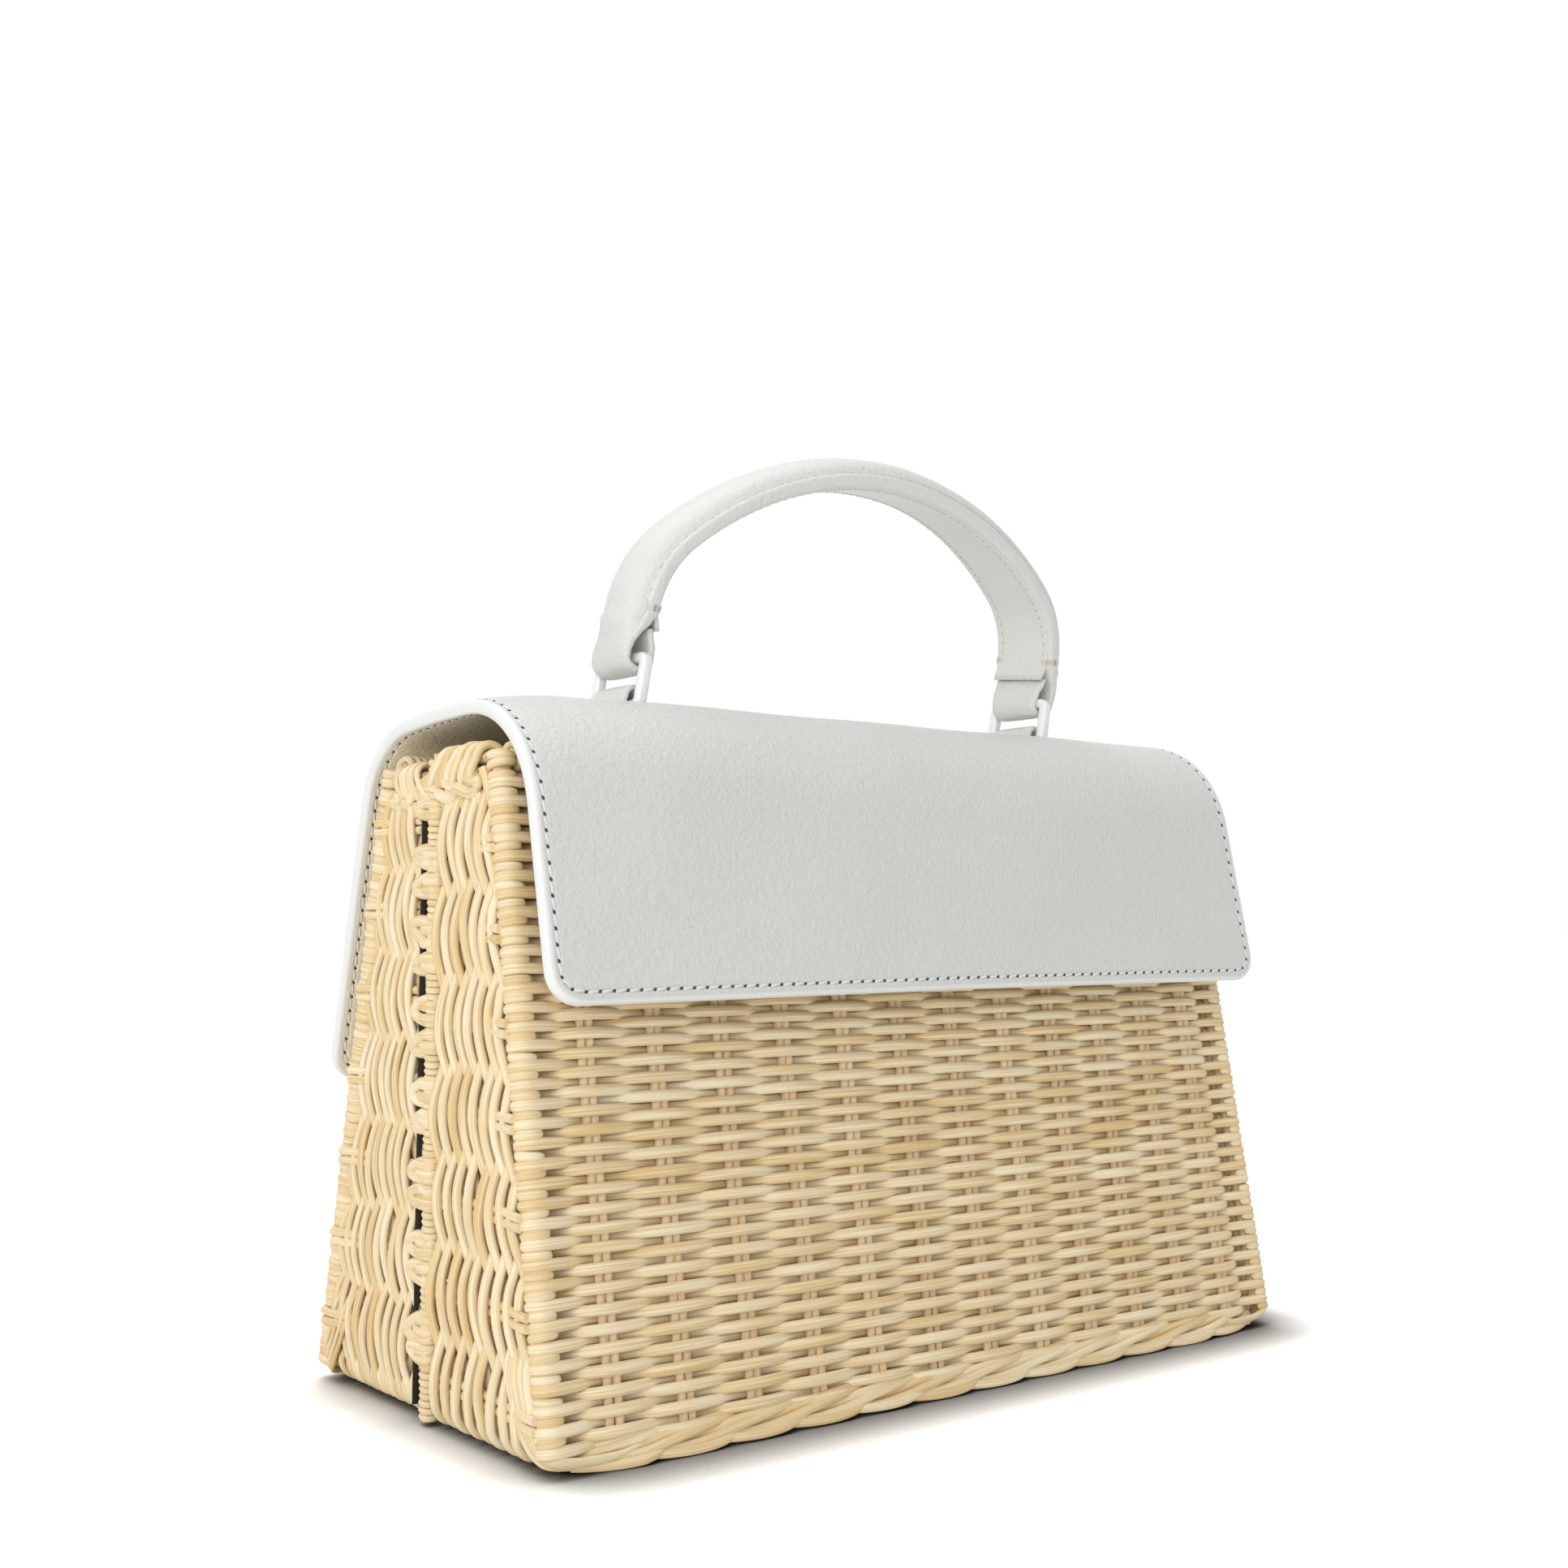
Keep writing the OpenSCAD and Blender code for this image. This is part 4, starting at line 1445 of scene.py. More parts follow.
@dataclass(frozen=True)
class CoverSizes:
    """Sizes of the cover in millimetres and degrees, as in the CAD source where it has them.

    Attributes:
        foot, rear_foot: outer ends of the flap and the rear panel, as y and z.
        inset: distance of the stitches from the edges.
        edge_r: how far in from the edge the leather is rounded.
        painted: width of the painted edge.
        hem_painted: its width along the two ends.
        groove: depth of the groove that the stitches lie in.
        crown_x: places across the width where the soft crown's height is known.
        crown_z: height that the soft leather stands above its CAD shape along the front bend.
        hem_x: places across the width where the hem's rise is known.
        hem_z: rise of the flap's lower edge.
        stretch: how far the right edge is pulled out, from stretch_x on.
        top_rise: height that the soft top stands above its CAD shape behind the handle.
        rear_off: how far the rear panel stands off.
        rear_drop: how far its lower edge hangs down.
    """

    width: float = 288.6
    leather_t: float = 4.2
    top_z: float = 199.3
    top_fall: float = 4.5
    flap_lean: float = 12.0
    rear_lean: float = 14.5
    front_r: float = 38.0
    rear_r: float = 27.0
    foot: tuple[float, float] = (-65.96, 117.5)
    rear_foot: tuple[float, float] = (66.6, 95.0)
    corner_r: float = 9.5
    inset: float = 3.35
    stitch: float = 4.3
    edge_r: float = 1.7
    painted: float = 1.95
    hem_painted: float = 1.25
    groove: float = 0.42
    crown_x: tuple[float, ...] = (-144.3, -135.0, -128.0, -120.0, -60.0, 0.0, 60.0, 144.3)
    crown_z: tuple[float, ...] = (0.7, 2.4, 3.3, 4.0, 4.7, 5.3, 5.8, 6.0)
    hem_x: tuple[float, ...] = (-144.3, 0.0, 144.3)
    hem_z: tuple[float, ...] = (0.2, 1.9, 2.6)
    stretch: float = 2.4
    stretch_x: float = 60.0
    top_rise: float = 2.0
    rear_off: float = 4.2
    rear_drop: float = 4.0


class CoverProfile:
    """The cover's middle line in the YZ plane, by its length from the flap's foot."""

    def __init__(self, sizes: CoverSizes) -> None:
        """Works out the line's three straight stretches and the two bends between them."""
        self.sizes = s = sizes
        a, b, c = (math.radians(v) for v in (s.flap_lean, s.top_fall, s.rear_lean))
        up = np.array([math.sin(a), math.cos(a)])
        back = np.array([math.cos(b), -math.sin(b)])
        down = np.array([math.sin(c), -math.cos(c)])
        inward = [np.array([u[1], -u[0]]) for u in (up, back, down)]
        t = s.leather_t / 2
        foot = np.array(s.foot) + inward[0] * t
        top = np.array([0.0, s.top_z]) + inward[1] * t
        rear = np.array(s.rear_foot) + inward[2] * t
        first = self._meet(foot, up, top, back)
        second = self._meet(rear, down, top, back)
        front_r, rear_r = s.front_r - t, s.rear_r - t
        front_turn, rear_turn = math.pi / 2 - a + b, math.pi / 2 - c - b
        front_cut, rear_cut = front_r * math.tan(front_turn / 2), rear_r * math.tan(rear_turn / 2)
        self.top_start = first + back * front_cut
        self.back = back
        top_end = second - back * rear_cut
        rear_start = second + down * rear_cut
        lengths = [np.linalg.norm(first - up * front_cut - foot), front_r * front_turn,
                   np.linalg.norm(top_end - self.top_start), rear_r * rear_turn,
                   np.linalg.norm(rear - rear_start)]
        self.starts = np.concatenate([[0], np.cumsum(lengths)])
        self.straights = {0: (foot, up), 2: (self.top_start, back), 4: (rear_start, down)}
        self.bends = {1: (first - up * front_cut + inward[0] * front_r, front_r, math.pi - a),
                      3: (top_end + inward[1] * rear_r, rear_r, math.pi / 2 - b)}

    @staticmethod
    def _meet(p: Array, u: Array, q: Array, v: Array) -> Array:
        """Where two lines meet, each given by a point and a direction."""
        gap = q - p
        return p + u * (gap[0] * v[1] - gap[1] * v[0]) / (u[0] * v[1] - u[1] * v[0])

    @property
    def length(self) -> float:
        """Whole length of the line."""
        return float(self.starts[-1])

    def drape(self, x: Array, v: Array) -> Array:
        """How far the soft leather lies from its CAD shape.

        Args:
            x: across the width.
            v: lengths from the flap's foot.

        Returns:
            Shifts, as x, y and z in the last axis.
        """
        s = self.sizes
        _, bend, top, top_end, rear, end = self.starts

        def ease(low: float, high: float) -> Array:
            """A smooth step from 0 at low to 1 at high."""
            t = np.clip((v - low) / (high - low), 0, 1)
            return t * t * (3 - 2 * t)

        hem = np.interp(x, s.hem_x, s.hem_z)
        crown = np.interp(x, s.crown_x, s.crown_z)
        past = ease(top - 7, top + 22)
        up = (hem + (crown - hem) * ease(0.3 * bend, 0.45 * bend + 0.55 * top)) * (1 - past)
        up = up + s.top_rise * past * (1 - ease(top_end - 8, rear)) - s.rear_drop * ease(rear, end)
        out = s.stretch * np.clip((x - s.stretch_x) / (s.width / 2 - s.stretch_x), 0, 1) ** 2
        return np.stack([out, s.rear_off * ease(top + 15, rear), up], -1)

    def top_v(self, y: Array) -> Array:
        """Lengths from the flap's foot at places on the top."""
        return self.starts[2] + (y - self.top_start[0]) / self.back[0]

    def at(self, v: Array) -> tuple[Array, Array]:
        """Points and outward normals.

        Args:
            v: lengths from the flap's foot.

        Returns:
            The y and z of the points, and of the normals.
        """
        points, normals = np.zeros((2, len(v), 2))
        stretch = np.clip(np.searchsorted(self.starts, v, "right") - 1, 0, 4)
        for k in range(5):
            mask = stretch == k
            run = (v[mask] - self.starts[k])[:, None]
            if k in self.straights:
                base, way = self.straights[k]
                points[mask] = base + way * run
                normals[mask] = np.array([-way[1], way[0]])
            else:
                mid, r, start = self.bends[k]
                angle = start - run[:, 0] / r
                normals[mask] = np.stack([np.cos(angle), np.sin(angle)], -1)
                points[mask] = mid + r * normals[mask]
        return points, normals

    def lift(self, flat: Array, height: Array) -> tuple[Array, Array]:
        """Flat points of the leather brought to their place.

        Args:
            flat: x and v of the points.
            height: height above the middle of the leather.

        Returns:
            The points and their normals.
        """
        p, n = self.at(flat[:, 1])
        points = np.column_stack([flat[:, 0], p + n * height[:, None]]) + self.drape(flat[:, 0], flat[:, 1])
        return points, np.column_stack([np.zeros(len(n)), n])


class LeatherCover:
    """The cover in one piece: rear panel, top and flap, with painted edges and two rows of stitches."""

    # Distances of the fine rows of points from an edge.
    near = np.array([0.0, 0.08, 0.3, 0.65, 1.1, 1.6, 2.1, 2.6, 2.85, 3.1, 3.35, 3.6, 4.1, 4.45, 4.7, 4.95,
                     5.4, 6.5, 8.0, 10.0, 12.0])

    def __init__(self, shop: Workshop, sizes: CoverSizes) -> None:
        """Keeps the workshop and the sizes, and works out the cover's profile."""
        self.shop, self.sizes = shop, sizes
        self.line = CoverProfile(sizes)

    def _flat(self) -> tuple[Array, Array, Array]:
        """A grid on the flat leather, with rounded corners and fine rows along the edges.

        Returns:
            X, length from the flap's foot and distance inwards from the outline, of each point.
        """
        s, near, total = self.sizes, self.near, self.line.length
        wide = near[-1]
        v = np.concatenate([near, np.linspace(wide, total - wide, 92)[1:-1], total - near[::-1]])
        inset = np.maximum(0, s.corner_r - np.minimum(v, total - v))
        half_w = s.width / 2 - s.corner_r + np.sqrt(np.maximum(s.corner_r ** 2 - inset ** 2, 0))
        mid = np.linspace(-1, 1, 42)[1:-1]
        x = np.array([np.concatenate([-w + near, mid * (w - wide), w - near[::-1]]) for w in half_w])
        v = np.broadcast_to(v[:, None], x.shape)
        qx = np.abs(x) - (s.width / 2 - s.corner_r)
        qv = np.abs(v - total / 2) - (total / 2 - s.corner_r)
        outside = np.hypot(np.maximum(qx, 0), np.maximum(qv, 0))
        e = np.maximum(s.corner_r - outside - np.minimum(np.maximum(qx, qv), 0), 0)
        e[[0, -1], :] = 0
        e[:, [0, -1]] = 0
        return x, v, e

    def build(self) -> Object:
        """Makes the leather.

        Returns:
            The piece.
        """
        s, total = self.sizes, self.line.length
        x, v, e = self._flat()
        fall = 1 - np.minimum(e, s.edge_r) / s.edge_r
        bulge = s.leather_t / 2 * np.sqrt(np.clip(1 - fall ** 2.4, 0, 1))
        groove = np.exp(-((e - s.inset) / 0.5) ** 2)
        on_hem = np.clip((s.width / 2 - 5 - np.abs(x)) / 6, 0, 1) * (np.minimum(v, total - v) < 6)
        limit = s.painted - (s.painted - s.hem_painted) * on_hem
        crease = 0.18 * np.exp(-((e - limit + 0.05) / 0.35) ** 2)
        ripple = 0.25 * np.sin(x * 0.031 + 1.0) * np.sin(v * 0.043) + 0.18 * np.sin(x * 0.083 - v * 0.05)
        ripple = ripple * np.clip((e - 6) / 20, 0, 1)
        flat = np.stack([x, v], -1).reshape(-1, 2)
        heights = (bulge - s.groove * groove - crease + ripple, -bulge + 0.35 * groove + ripple)
        sheets = [self.line.lift(flat, height.ravel())[0] for height in heights]
        rows, columns = x.shape
        count = rows * columns
        quads = grid_quads(rows, columns)
        rim = np.zeros((rows, columns), bool)
        rim[[0, -1], :] = True
        rim[:, [0, -1]] = True
        same = np.arange(2 * count)
        same[count:][rim.ravel()] = np.arange(count)[rim.ravel()]
        used, new_number = np.unique(same, return_inverse=True)
        faces = new_number[np.vstack([quads, quads[:, ::-1] + count])]
        mesh = face_mesh("leather_cover", np.vstack(sheets)[used], faces.tolist())
        painted = np.clip((limit - e) / 0.25, 0, 1).ravel()
        inner = np.repeat([0.0, 1.0], count)
        set_values(mesh, {"edge": np.tile(painted, 2)[used], "inner": inner[used]})
        LOG.info("cover: %.1f by %.1f mm flat", s.width, total)
        return self.shop.solid(mesh, LEATHER)

    def _holes(self) -> Array:
        """The stitch holes on the flat leather.

        Returns:
            The x and v of the holes, in order round the outline.
        """
        s = self.sizes
        r = s.corner_r - s.inset
        mid_x, low, high = s.width / 2 - s.corner_r, s.corner_r, self.line.length - s.corner_r
        path = []
        for k, corner in enumerate(((mid_x, high), (-mid_x, high), (-mid_x, low), (mid_x, low))):
            turn = np.radians(np.linspace(0, 90, 9) + 90 * k)
            path.append(np.array(corner) + r * np.stack([np.cos(turn), np.sin(turn)], -1))
        path = np.vstack([*path, path[0][:1]])
        run = np.concatenate([[0], np.cumsum(np.linalg.norm(np.diff(path, axis=0), axis=1))])
        count = round(run[-1] / s.stitch)
        places = np.arange(count) * run[-1] / count
        return np.stack([np.interp(places, run, path[:, k]) for k in range(2)], -1)

    def stitches(self) -> list[Object]:
        """Makes the stitches and their slits on both sides, the slits being dark marks of painted shade for
        the holes.

        Returns:
            The threads and the slits.
        """
        share = np.array([0.1, 0.25, 0.5, 0.75, 0.9])
        skew = np.array([-0.3, -0.15, 0.0, 0.15, 0.3])
        bow = np.array([-0.25, 0.12, 0.22, 0.12, -0.25])
        slit_share, slit_bow = np.array([-0.75, 0.0, 0.75]), np.array([-0.02, 0.08, -0.02])
        slit_r, thread_r = np.array([0.24, 0.5, 0.24]), 0.42
        rise = self.sizes.leather_t / 2 - 0.36
        threads, slits = Strands(81), Strands(82)
        holes = self._holes()
        for a, b in zip(holes, np.roll(holes, -1, axis=0)):
            way = (b - a) / np.linalg.norm(b - a)
            across = np.array([-way[1], way[0]])
            for face in (1, -1):
                flat = a + np.outer(share, b - a) + np.outer(skew * face, across)
                points, normal = self.line.lift(flat, (rise + bow) * face)
                threads.add(points, thread_r, normal, 0.7)
                # Each slit is a dark mark of painted shade for the stitch hole.
                cut = a + np.outer(slit_share, 0.75 * across * face + 0.66 * way)
                points, normal = self.line.lift(cut, (rise + slit_bow) * face)
                slits.add(points, slit_r, normal, 0.5)
        return [self.shop.tubes("cover_stitches", threads, THREAD, 6, 0.8),
                self.shop.tubes("cover_stitch_slits", slits, HOLE_SHADE, 5, 0.7)]


# Handle


@dataclass(frozen=True)
class HandleSizes:
    """Sizes of the handle, its rings and its tabs in millimetres and degrees.

    Attributes:
        wire: thickness of the rings' wire in the CAD source, which the loops go round.
        wire_seen: thickness of the wire as it looks.
        wide_w: width of the strap above its necks.
        crown: thickness of the strap's middle above the lining.
        band: height of the painted edge above the lining.
        lining_proud: how far the lining stands out of the strap's inner face.
        loop_t: thickness of the leather round a ring.
        spread: how far the legs bulge outwards above the necks.
        lean_x: how far the soft arch has sagged to the right at its top.
        lean_y: how far it has sagged towards the front there, as a negative number.
        twist: slope by which the right leg is turned towards the front.
    """

    ring_x: float = 86.9
    handle_y: float = -6.2
    bar_z: float = 204.509
    wire: float = 4.2
    wire_seen: float = 3.6
    ring_w: float = 24.6
    ring_h: float = 15.0
    ring_r: float = 2.3
    sway: float = 10.0
    strap_w: float = 19.6
    wide_w: float = 22.2
    crown: float = 9.0
    band: float = 3.5
    lining_t: float = 1.6
    lining_proud: float = 0.3
    loop_t: float = 2.6
    leg_h: float = 15.0
    arch_h: float = 64.9
    shoulder_r: float = 28.9
    spread: float = 3.2
    lean_x: float = 6.0
    lean_y: float = -10.0
    twist: float = 0.25
    tab_t: float = 1.8
    tab_w: float = 19.0
    tab_l: float = 30.0

    @property
    def origin(self) -> Array:
        """Middle between the rings' upper bars."""
        a = math.radians(self.sway)
        return np.array([self.ring_h * math.sin(a), self.handle_y, self.bar_z + self.ring_h * math.cos(a)])

    @property
    def leg_face(self) -> float:
        """Distance from the middle to the inner face of a leg above its neck."""
        return self.ring_x - self.loop_t - self.wire / 2 - 0.05 - self.lining_t + self.spread


def section(width: float, edge: float, fillet: float, top: Array) -> Array:
    """A strap's section: flat below, with rounded edges and a given top.

    Args:
        width: its width.
        edge: height of its edges.
        fillet: radius of its corners.
        top: points of its top from the left edge to the right.

    Returns:
        Points as (height above the flat face, place across).
    """
    w = width / 2
    arc = np.radians(np.linspace(0, 90, 5))
    low = np.stack([fillet - fillet * np.cos(arc), -w + fillet - fillet * np.sin(arc)], -1)
    high = np.stack([edge - fillet + fillet * np.sin(arc), -w + fillet - fillet * np.cos(arc)], -1)
    left = np.vstack([low, high])
    return np.vstack([left, top, left[::-1] * np.array([1.0, -1.0])])


def flat_section(width: float, thick: float, edge: float, fillet: float) -> Array:
    """The section of a lining or a tab, with a faint crown.

    Args:
        width: its width.
        thick: thickness in the middle.
        edge: thickness at the edges.
        fillet: radius of its corners.

    Returns:
        Points as (height above the flat face, place across).
    """
    half = width / 2 - fillet
    y = np.linspace(-half, half, 9)[1:-1]
    return section(width, edge, fillet, np.stack([edge + (thick - edge) * (1 - (y / half) ** 2), y], -1))


def strap_section(width: float, crown: float, band: float, valley: float) -> Array:
    """The handle's section: a rounded edge on each side, and between them a crown behind a stitched valley.

    Args:
        width: its width.
        crown: thickness in the middle.
        band: height of the rounded edges.
        valley: depth of the stitched valley beside each edge.

    Returns:
        Points as (height above the flat face, place across).
    """
    fillet = min(1.3, band / 2 - 0.01)
    turn = np.radians(np.array([3, 14, 28, 45, 65, 90, 115, 135, 152, 166, 177]))
    height = band - valley + (crown - band + valley) * np.sin(turn) ** 0.9
    return section(width, band, fillet, np.stack([height, -(width / 2 - fillet) * np.cos(turn)], -1))


def mirrored(stations: Array) -> Array:
    """Stations of the right leg as the left leg has them, in reverse order."""
    other = stations[::-1].copy()
    other[:, 0] *= -1
    other[:, 2] = math.pi - other[:, 2]
    return other


@dataclass
class Fitting:
    """A sub-assembly of the handle, made in the workshop to the handle's sizes."""

    shop: Workshop
    sizes: HandleSizes


@dataclass
class Handle(Fitting):
    """The arched strap with its lining, its loops round the rings, and its stitches.

    Attributes:
        lining_foot: height above the rings' bars where the lining starts.
        lining_gap: how much narrower than the strap it is.
    """

    stitch: float = 3.4
    lining_foot: float = 9.5
    lining_gap: float = 3.2

    def _arch(self) -> Array:
        """Stations of the arch's inner face from the right leg to the left.

        Returns:
            Rows of x, z and the outward angle, from the middle between the upper bars.
        """
        s = self.sizes
        x0 = s.leg_face - s.shoulder_r
        rise = s.arch_h - s.leg_h
        big = (x0 ** 2 + rise ** 2 - s.shoulder_r ** 2) / (2 * (rise - s.shoulder_r))
        mid_z = s.arch_h - big
        turn = math.atan2(s.leg_h - mid_z, x0)
        a = np.linspace(0, turn, 14)
        shoulder = points_of(x0 + s.shoulder_r * np.cos(a), s.leg_h + s.shoulder_r * np.sin(a), a)
        b = np.linspace(turn, math.pi - turn, 34)[1:-1]
        top = points_of(big * np.cos(b), mid_z + big * np.sin(b), b)
        return np.vstack([shoulder, top, mirrored(shoulder)])

    def _put(self, x: Array, z: Array, a: Array, h: Array, y: Array) -> Array:
        """Points of the handle brought to their place, with the arch's sag.

        Args:
            x: place of the station.
            z: its height above the upper bars.
            a: its outward angle.
            h: height above the station's face.
            y: place across the strap.

        Returns:
            The points.
        """
        s = self.sizes
        high = z + h * np.sin(a)
        sag = np.clip(high / s.arch_h, 0, 1.2)
        tip = -y * s.lean_y / s.arch_h * np.clip(high / s.leg_h, 0, 1)
        near = np.clip((x - 5.0) / 65.0, 0, 1) * np.clip((high + 10.0) / 25.0, 0, 1)
        turn = -y * s.twist * near * near * (3 - 2 * near)
        across = x + h * np.cos(a) + s.lean_x * sag + turn
        return s.origin + points_of(across, y + s.lean_y * sag, high + tip)

    def _strap(self, name: str, stations: Array, sections: list[Array]) -> Object:
        """A strap through stations.

        Args:
            name: name of the piece.
            stations: rows of x, z and outward angle.
            sections: one section for each station.

        Returns:
            The piece.
        """
        rings = [self._put(x, z, a, cut[:, 0], cut[:, 1]) for (x, z, a), cut in zip(stations, sections)]
        return self.shop.solid(lofted(name, rings[::-1]), STRAP_LEATHER)

    def build(self) -> list[Object]:
        """Makes the strap with its loops, the lining and the stitches.

        Returns:
            The pieces.
        """
        s = self.sizes
        arch = self._arch()
        buried = s.lining_t - s.lining_proud
        body = arch.copy()
        body[:, 0] += s.lining_proud * np.cos(arch[:, 2])
        body[:, 1] += s.lining_proud * np.sin(arch[:, 2])
        loop, shares = self._loop()
        stations = np.vstack([loop, body, mirrored(loop)])
        cuts = []
        for share in np.concatenate([shares, np.ones(len(body)), shares[::-1]]):
            crown = s.loop_t + (s.crown + buried - s.loop_t) * share
            thin = s.loop_t - 0.2
            band = thin + (s.band + buried - thin) * share
            width = s.strap_w + (s.wide_w - s.strap_w) * share
            cuts.append(strap_section(width, crown, band, 0.45 * share))
        strap = self._strap("handle_strap_leather", stations, cuts)
        leg = np.array([(s.leg_face - 1.6, self.lining_foot, 0.0),
                        (s.leg_face - 0.9, (self.lining_foot + s.leg_h) / 2, 0.0)])
        legs = np.vstack([leg, arch, mirrored(leg)])
        cut = flat_section(s.wide_w - self.lining_gap, s.lining_t, s.lining_t - 0.05, 0.3)
        lining = self._strap("handle_lining_leather", legs, [cut] * len(legs))
        return [strap, lining, *self._stitches(arch)]

    def _loop(self) -> tuple[Array, Array]:
        """Stations of the leather's inner face round the right ring's bar, from its tucked end to the leg.

        Returns:
            Rows of x, z and outward angle, and the share of the full thickness at each.
        """
        s, x = self.sizes, self.sizes.ring_x
        r = s.wire / 2 + 0.25
        rows = [(x - 0.3, 10.0, math.pi, 0.0), (x - 1.1, 7.0, math.pi + 0.12, 0.0),
                (x - 2.2, 4.0, math.pi + 0.05, 0.0)]
        for a in np.radians(np.linspace(180, 360, 13)):
            rows.append((x + (r + 0.7 * (1 + math.cos(a))) * math.cos(a), r * math.sin(a), a, 0.0))
        rows += [(x + r + 1.5, 2.6, FULL_TURN, 0.03), (x + 3.1, 5.5, FULL_TURN - 0.1, 0.15),
                 (x + 1.5, 8.5, FULL_TURN - 0.2, 0.42), (x - 0.7, 11.2, FULL_TURN - 0.16, 0.77),
                 (x - 1.6, 13.4, FULL_TURN - 0.06, 0.97)]
        table = np.array(rows)
        return table[:, :3], table[:, 3]

    def _stitches(self, arch: Array) -> list[Object]:
        """The rows of stitches on the lining and in the strap's valleys, and the whipping at the necks.

        Args:
            arch: stations of the inner face.

        Returns:
            The threads, the slits and the whipping.
        """
        s = self.sizes
        threads, slits, whips = Strands(91), Strands(92), Strands(93)
        run = np.concatenate([[0], np.cumsum(np.hypot(np.diff(arch[:, 0]), np.diff(arch[:, 1])))])

        def lay(where: Strands, d: Array, y: Number, h: Array, face: int,
                radius: Number, tone: float) -> None:
            """Adds a thread or slit at lengths d, places y and heights h, facing out (1) or in (-1)."""
            x, z, a = (np.interp(d, run, arch[:, k]) for k in range(3))
            where.add(self._put(x, z, a, h, y), radius, face * points_of(np.cos(a), 0.0, np.sin(a)), tone)

        bow = np.array([-0.1, 0.12, 0.18, 0.12, -0.1])
        stitch_run = self.stitch * np.array([0.14, 0.3, 0.5, 0.7, 0.86])
        slit_run, slit_r = np.array([-0.55, 0.0, 0.55]), np.array([0.08, 0.13, 0.08])
        whip_y = np.array([-2.2, -0.9, 0.05, 0.1, -0.3, -1.3])
        whip_h = np.array([-0.12, -0.08, 0.9, 3.2, 5.0, 5.1])
        outer_h = s.lining_t + s.band - 0.2
        for row in (-1, 1):
            inner_y, outer_y = row * (s.wide_w / 2 - 2.9), row * (s.wide_w / 2 - 1.35)
            for p in np.arange(1.0, run[-1] - 1.0, self.stitch)[:-1]:
                lay(threads, p + stitch_run, inner_y, -bow, -1, 0.24, 0.7)
                lay(threads, p + stitch_run, outer_y, outer_h + bow, 1, 0.26, 0.7)
                # The slits are grey marks of painted shade for the stitch holes.
                lay(slits, p + slit_run, inner_y, np.full(3, -0.03), -1, slit_r * 1.3, 0.5)
                lay(slits, p + slit_run, outer_y, np.full(3, outer_h + 0.05), 1, slit_r, 0.5)
            for end in (0.0, run[-1]):
                for step in range(4):
                    d = np.full(len(whip_y), abs(end - 0.8 - 0.5 * step))
                    lay(whips, d, row * (s.wide_w / 2 + whip_y), whip_h, 1, 0.17, 0.6)
        return [self.shop.tubes("handle_stitches", threads, THREAD, 6, 0.8),
                self.shop.tubes("handle_stitch_slits", slits, PALE_HOLE_SHADE, 5, 0.7),
                self.shop.tubes("handle_whipping", whips, RAW, 6, 0.8)]


@dataclass
class Ring(Fitting):
    """A lacquered rectangular ring of soft square wire.

    Attributes:
        squareness: power of the wire's section, where 1 is round and 0 square.
    """

    side: Side
    squareness: float = 0.62

    def build(self) -> Object:
        """Makes the ring.

        Returns:
            The piece.
        """
        s, r = self.sizes, self.sizes.ring_r
        half_w, half_h = s.ring_w / 2, s.ring_h / 2
        a = np.linspace(0, FULL_TURN, 20, endpoint=False)
        wire = [s.wire_seen / 2 * np.sign(c) * np.abs(c) ** self.squareness for c in (np.cos(a), np.sin(a))]
        lean = math.radians(s.sway)
        rings = []
        for cy, cz, start in ((1, 1, 0), (-1, 1, 90), (-1, -1, 180), (1, -1, 270)):
            for turn in np.radians(np.linspace(start, start + 90, 7)):
                y = cy * (half_w - r) + (r + wire[0]) * math.cos(turn)
                z = cz * (half_h - r) + half_h + (r + wire[0]) * math.sin(turn)
                x = wire[1] * math.cos(lean) + z * math.sin(lean)
                up = -wire[1] * math.sin(lean) + z * math.cos(lean)
                rings.append(points_of(self.side.value * s.ring_x + x, s.handle_y + y, s.bar_z + up))
        return self.shop.solid(lofted(f"{self.side.word}_ring_wire", rings, True), LACQUER)


@dataclass
class Tab(Fitting):
    """A leather tab on the flap, folded round a ring's lower bar.

    Attributes:
        loft: how much higher than round the fold stands.
        sink: how deep the tab's ends are pressed into the soft cover.
    """

    cover: CoverSizes
    side: Side
    loft: float = 2.2
    sink: float = 1.65

    def build(self) -> Object:
        """Makes the tab.

        Returns:
            The piece.
        """
        s, flat = self.sizes, math.pi / 2
        slope = -math.tan(math.radians(self.cover.top_fall))
        r = s.wire / 2 + 0.15
        floor = self.cover.top_z + s.handle_y * slope - s.bar_z
        low = floor + 0.05 - self.sink
        half = s.tab_l / 2
        turn = np.radians(np.linspace(-20, 200, 15))
        fold = r * np.sin(turn) * np.where(turn % FULL_TURN < math.pi, self.loft, 1.0)
        ends = np.array([(half, low, flat), (half * 0.6, low, flat), (r + 2.2, low + 0.25, flat - 0.3)])
        stations = np.vstack([ends, points_of(r * np.cos(turn), fold, turn), mirrored(ends)])
        cut_h, cut_y = flat_section(s.tab_w, s.tab_t, s.tab_t - 0.1, 0.55).T
        line = CoverProfile(self.cover)
        rings = []
        for x, z, a in stations:
            x = self.side.value * s.ring_x + x
            soft = line.drape(np.full(len(cut_y), x), line.top_v(s.handle_y + cut_y))[:, 2]
            near_floor = np.clip((r - z) / (r - floor), 0, 1)
            up = s.bar_z + z + cut_h * math.sin(a) + (cut_y * slope + soft) * near_floor
            rings.append(points_of(x + cut_h * math.cos(a), s.handle_y + cut_y, up))
        return self.shop.solid(lofted(f"{self.side.word}_tab_leather", rings[::-1]), STRAP_LEATHER)


# Studio


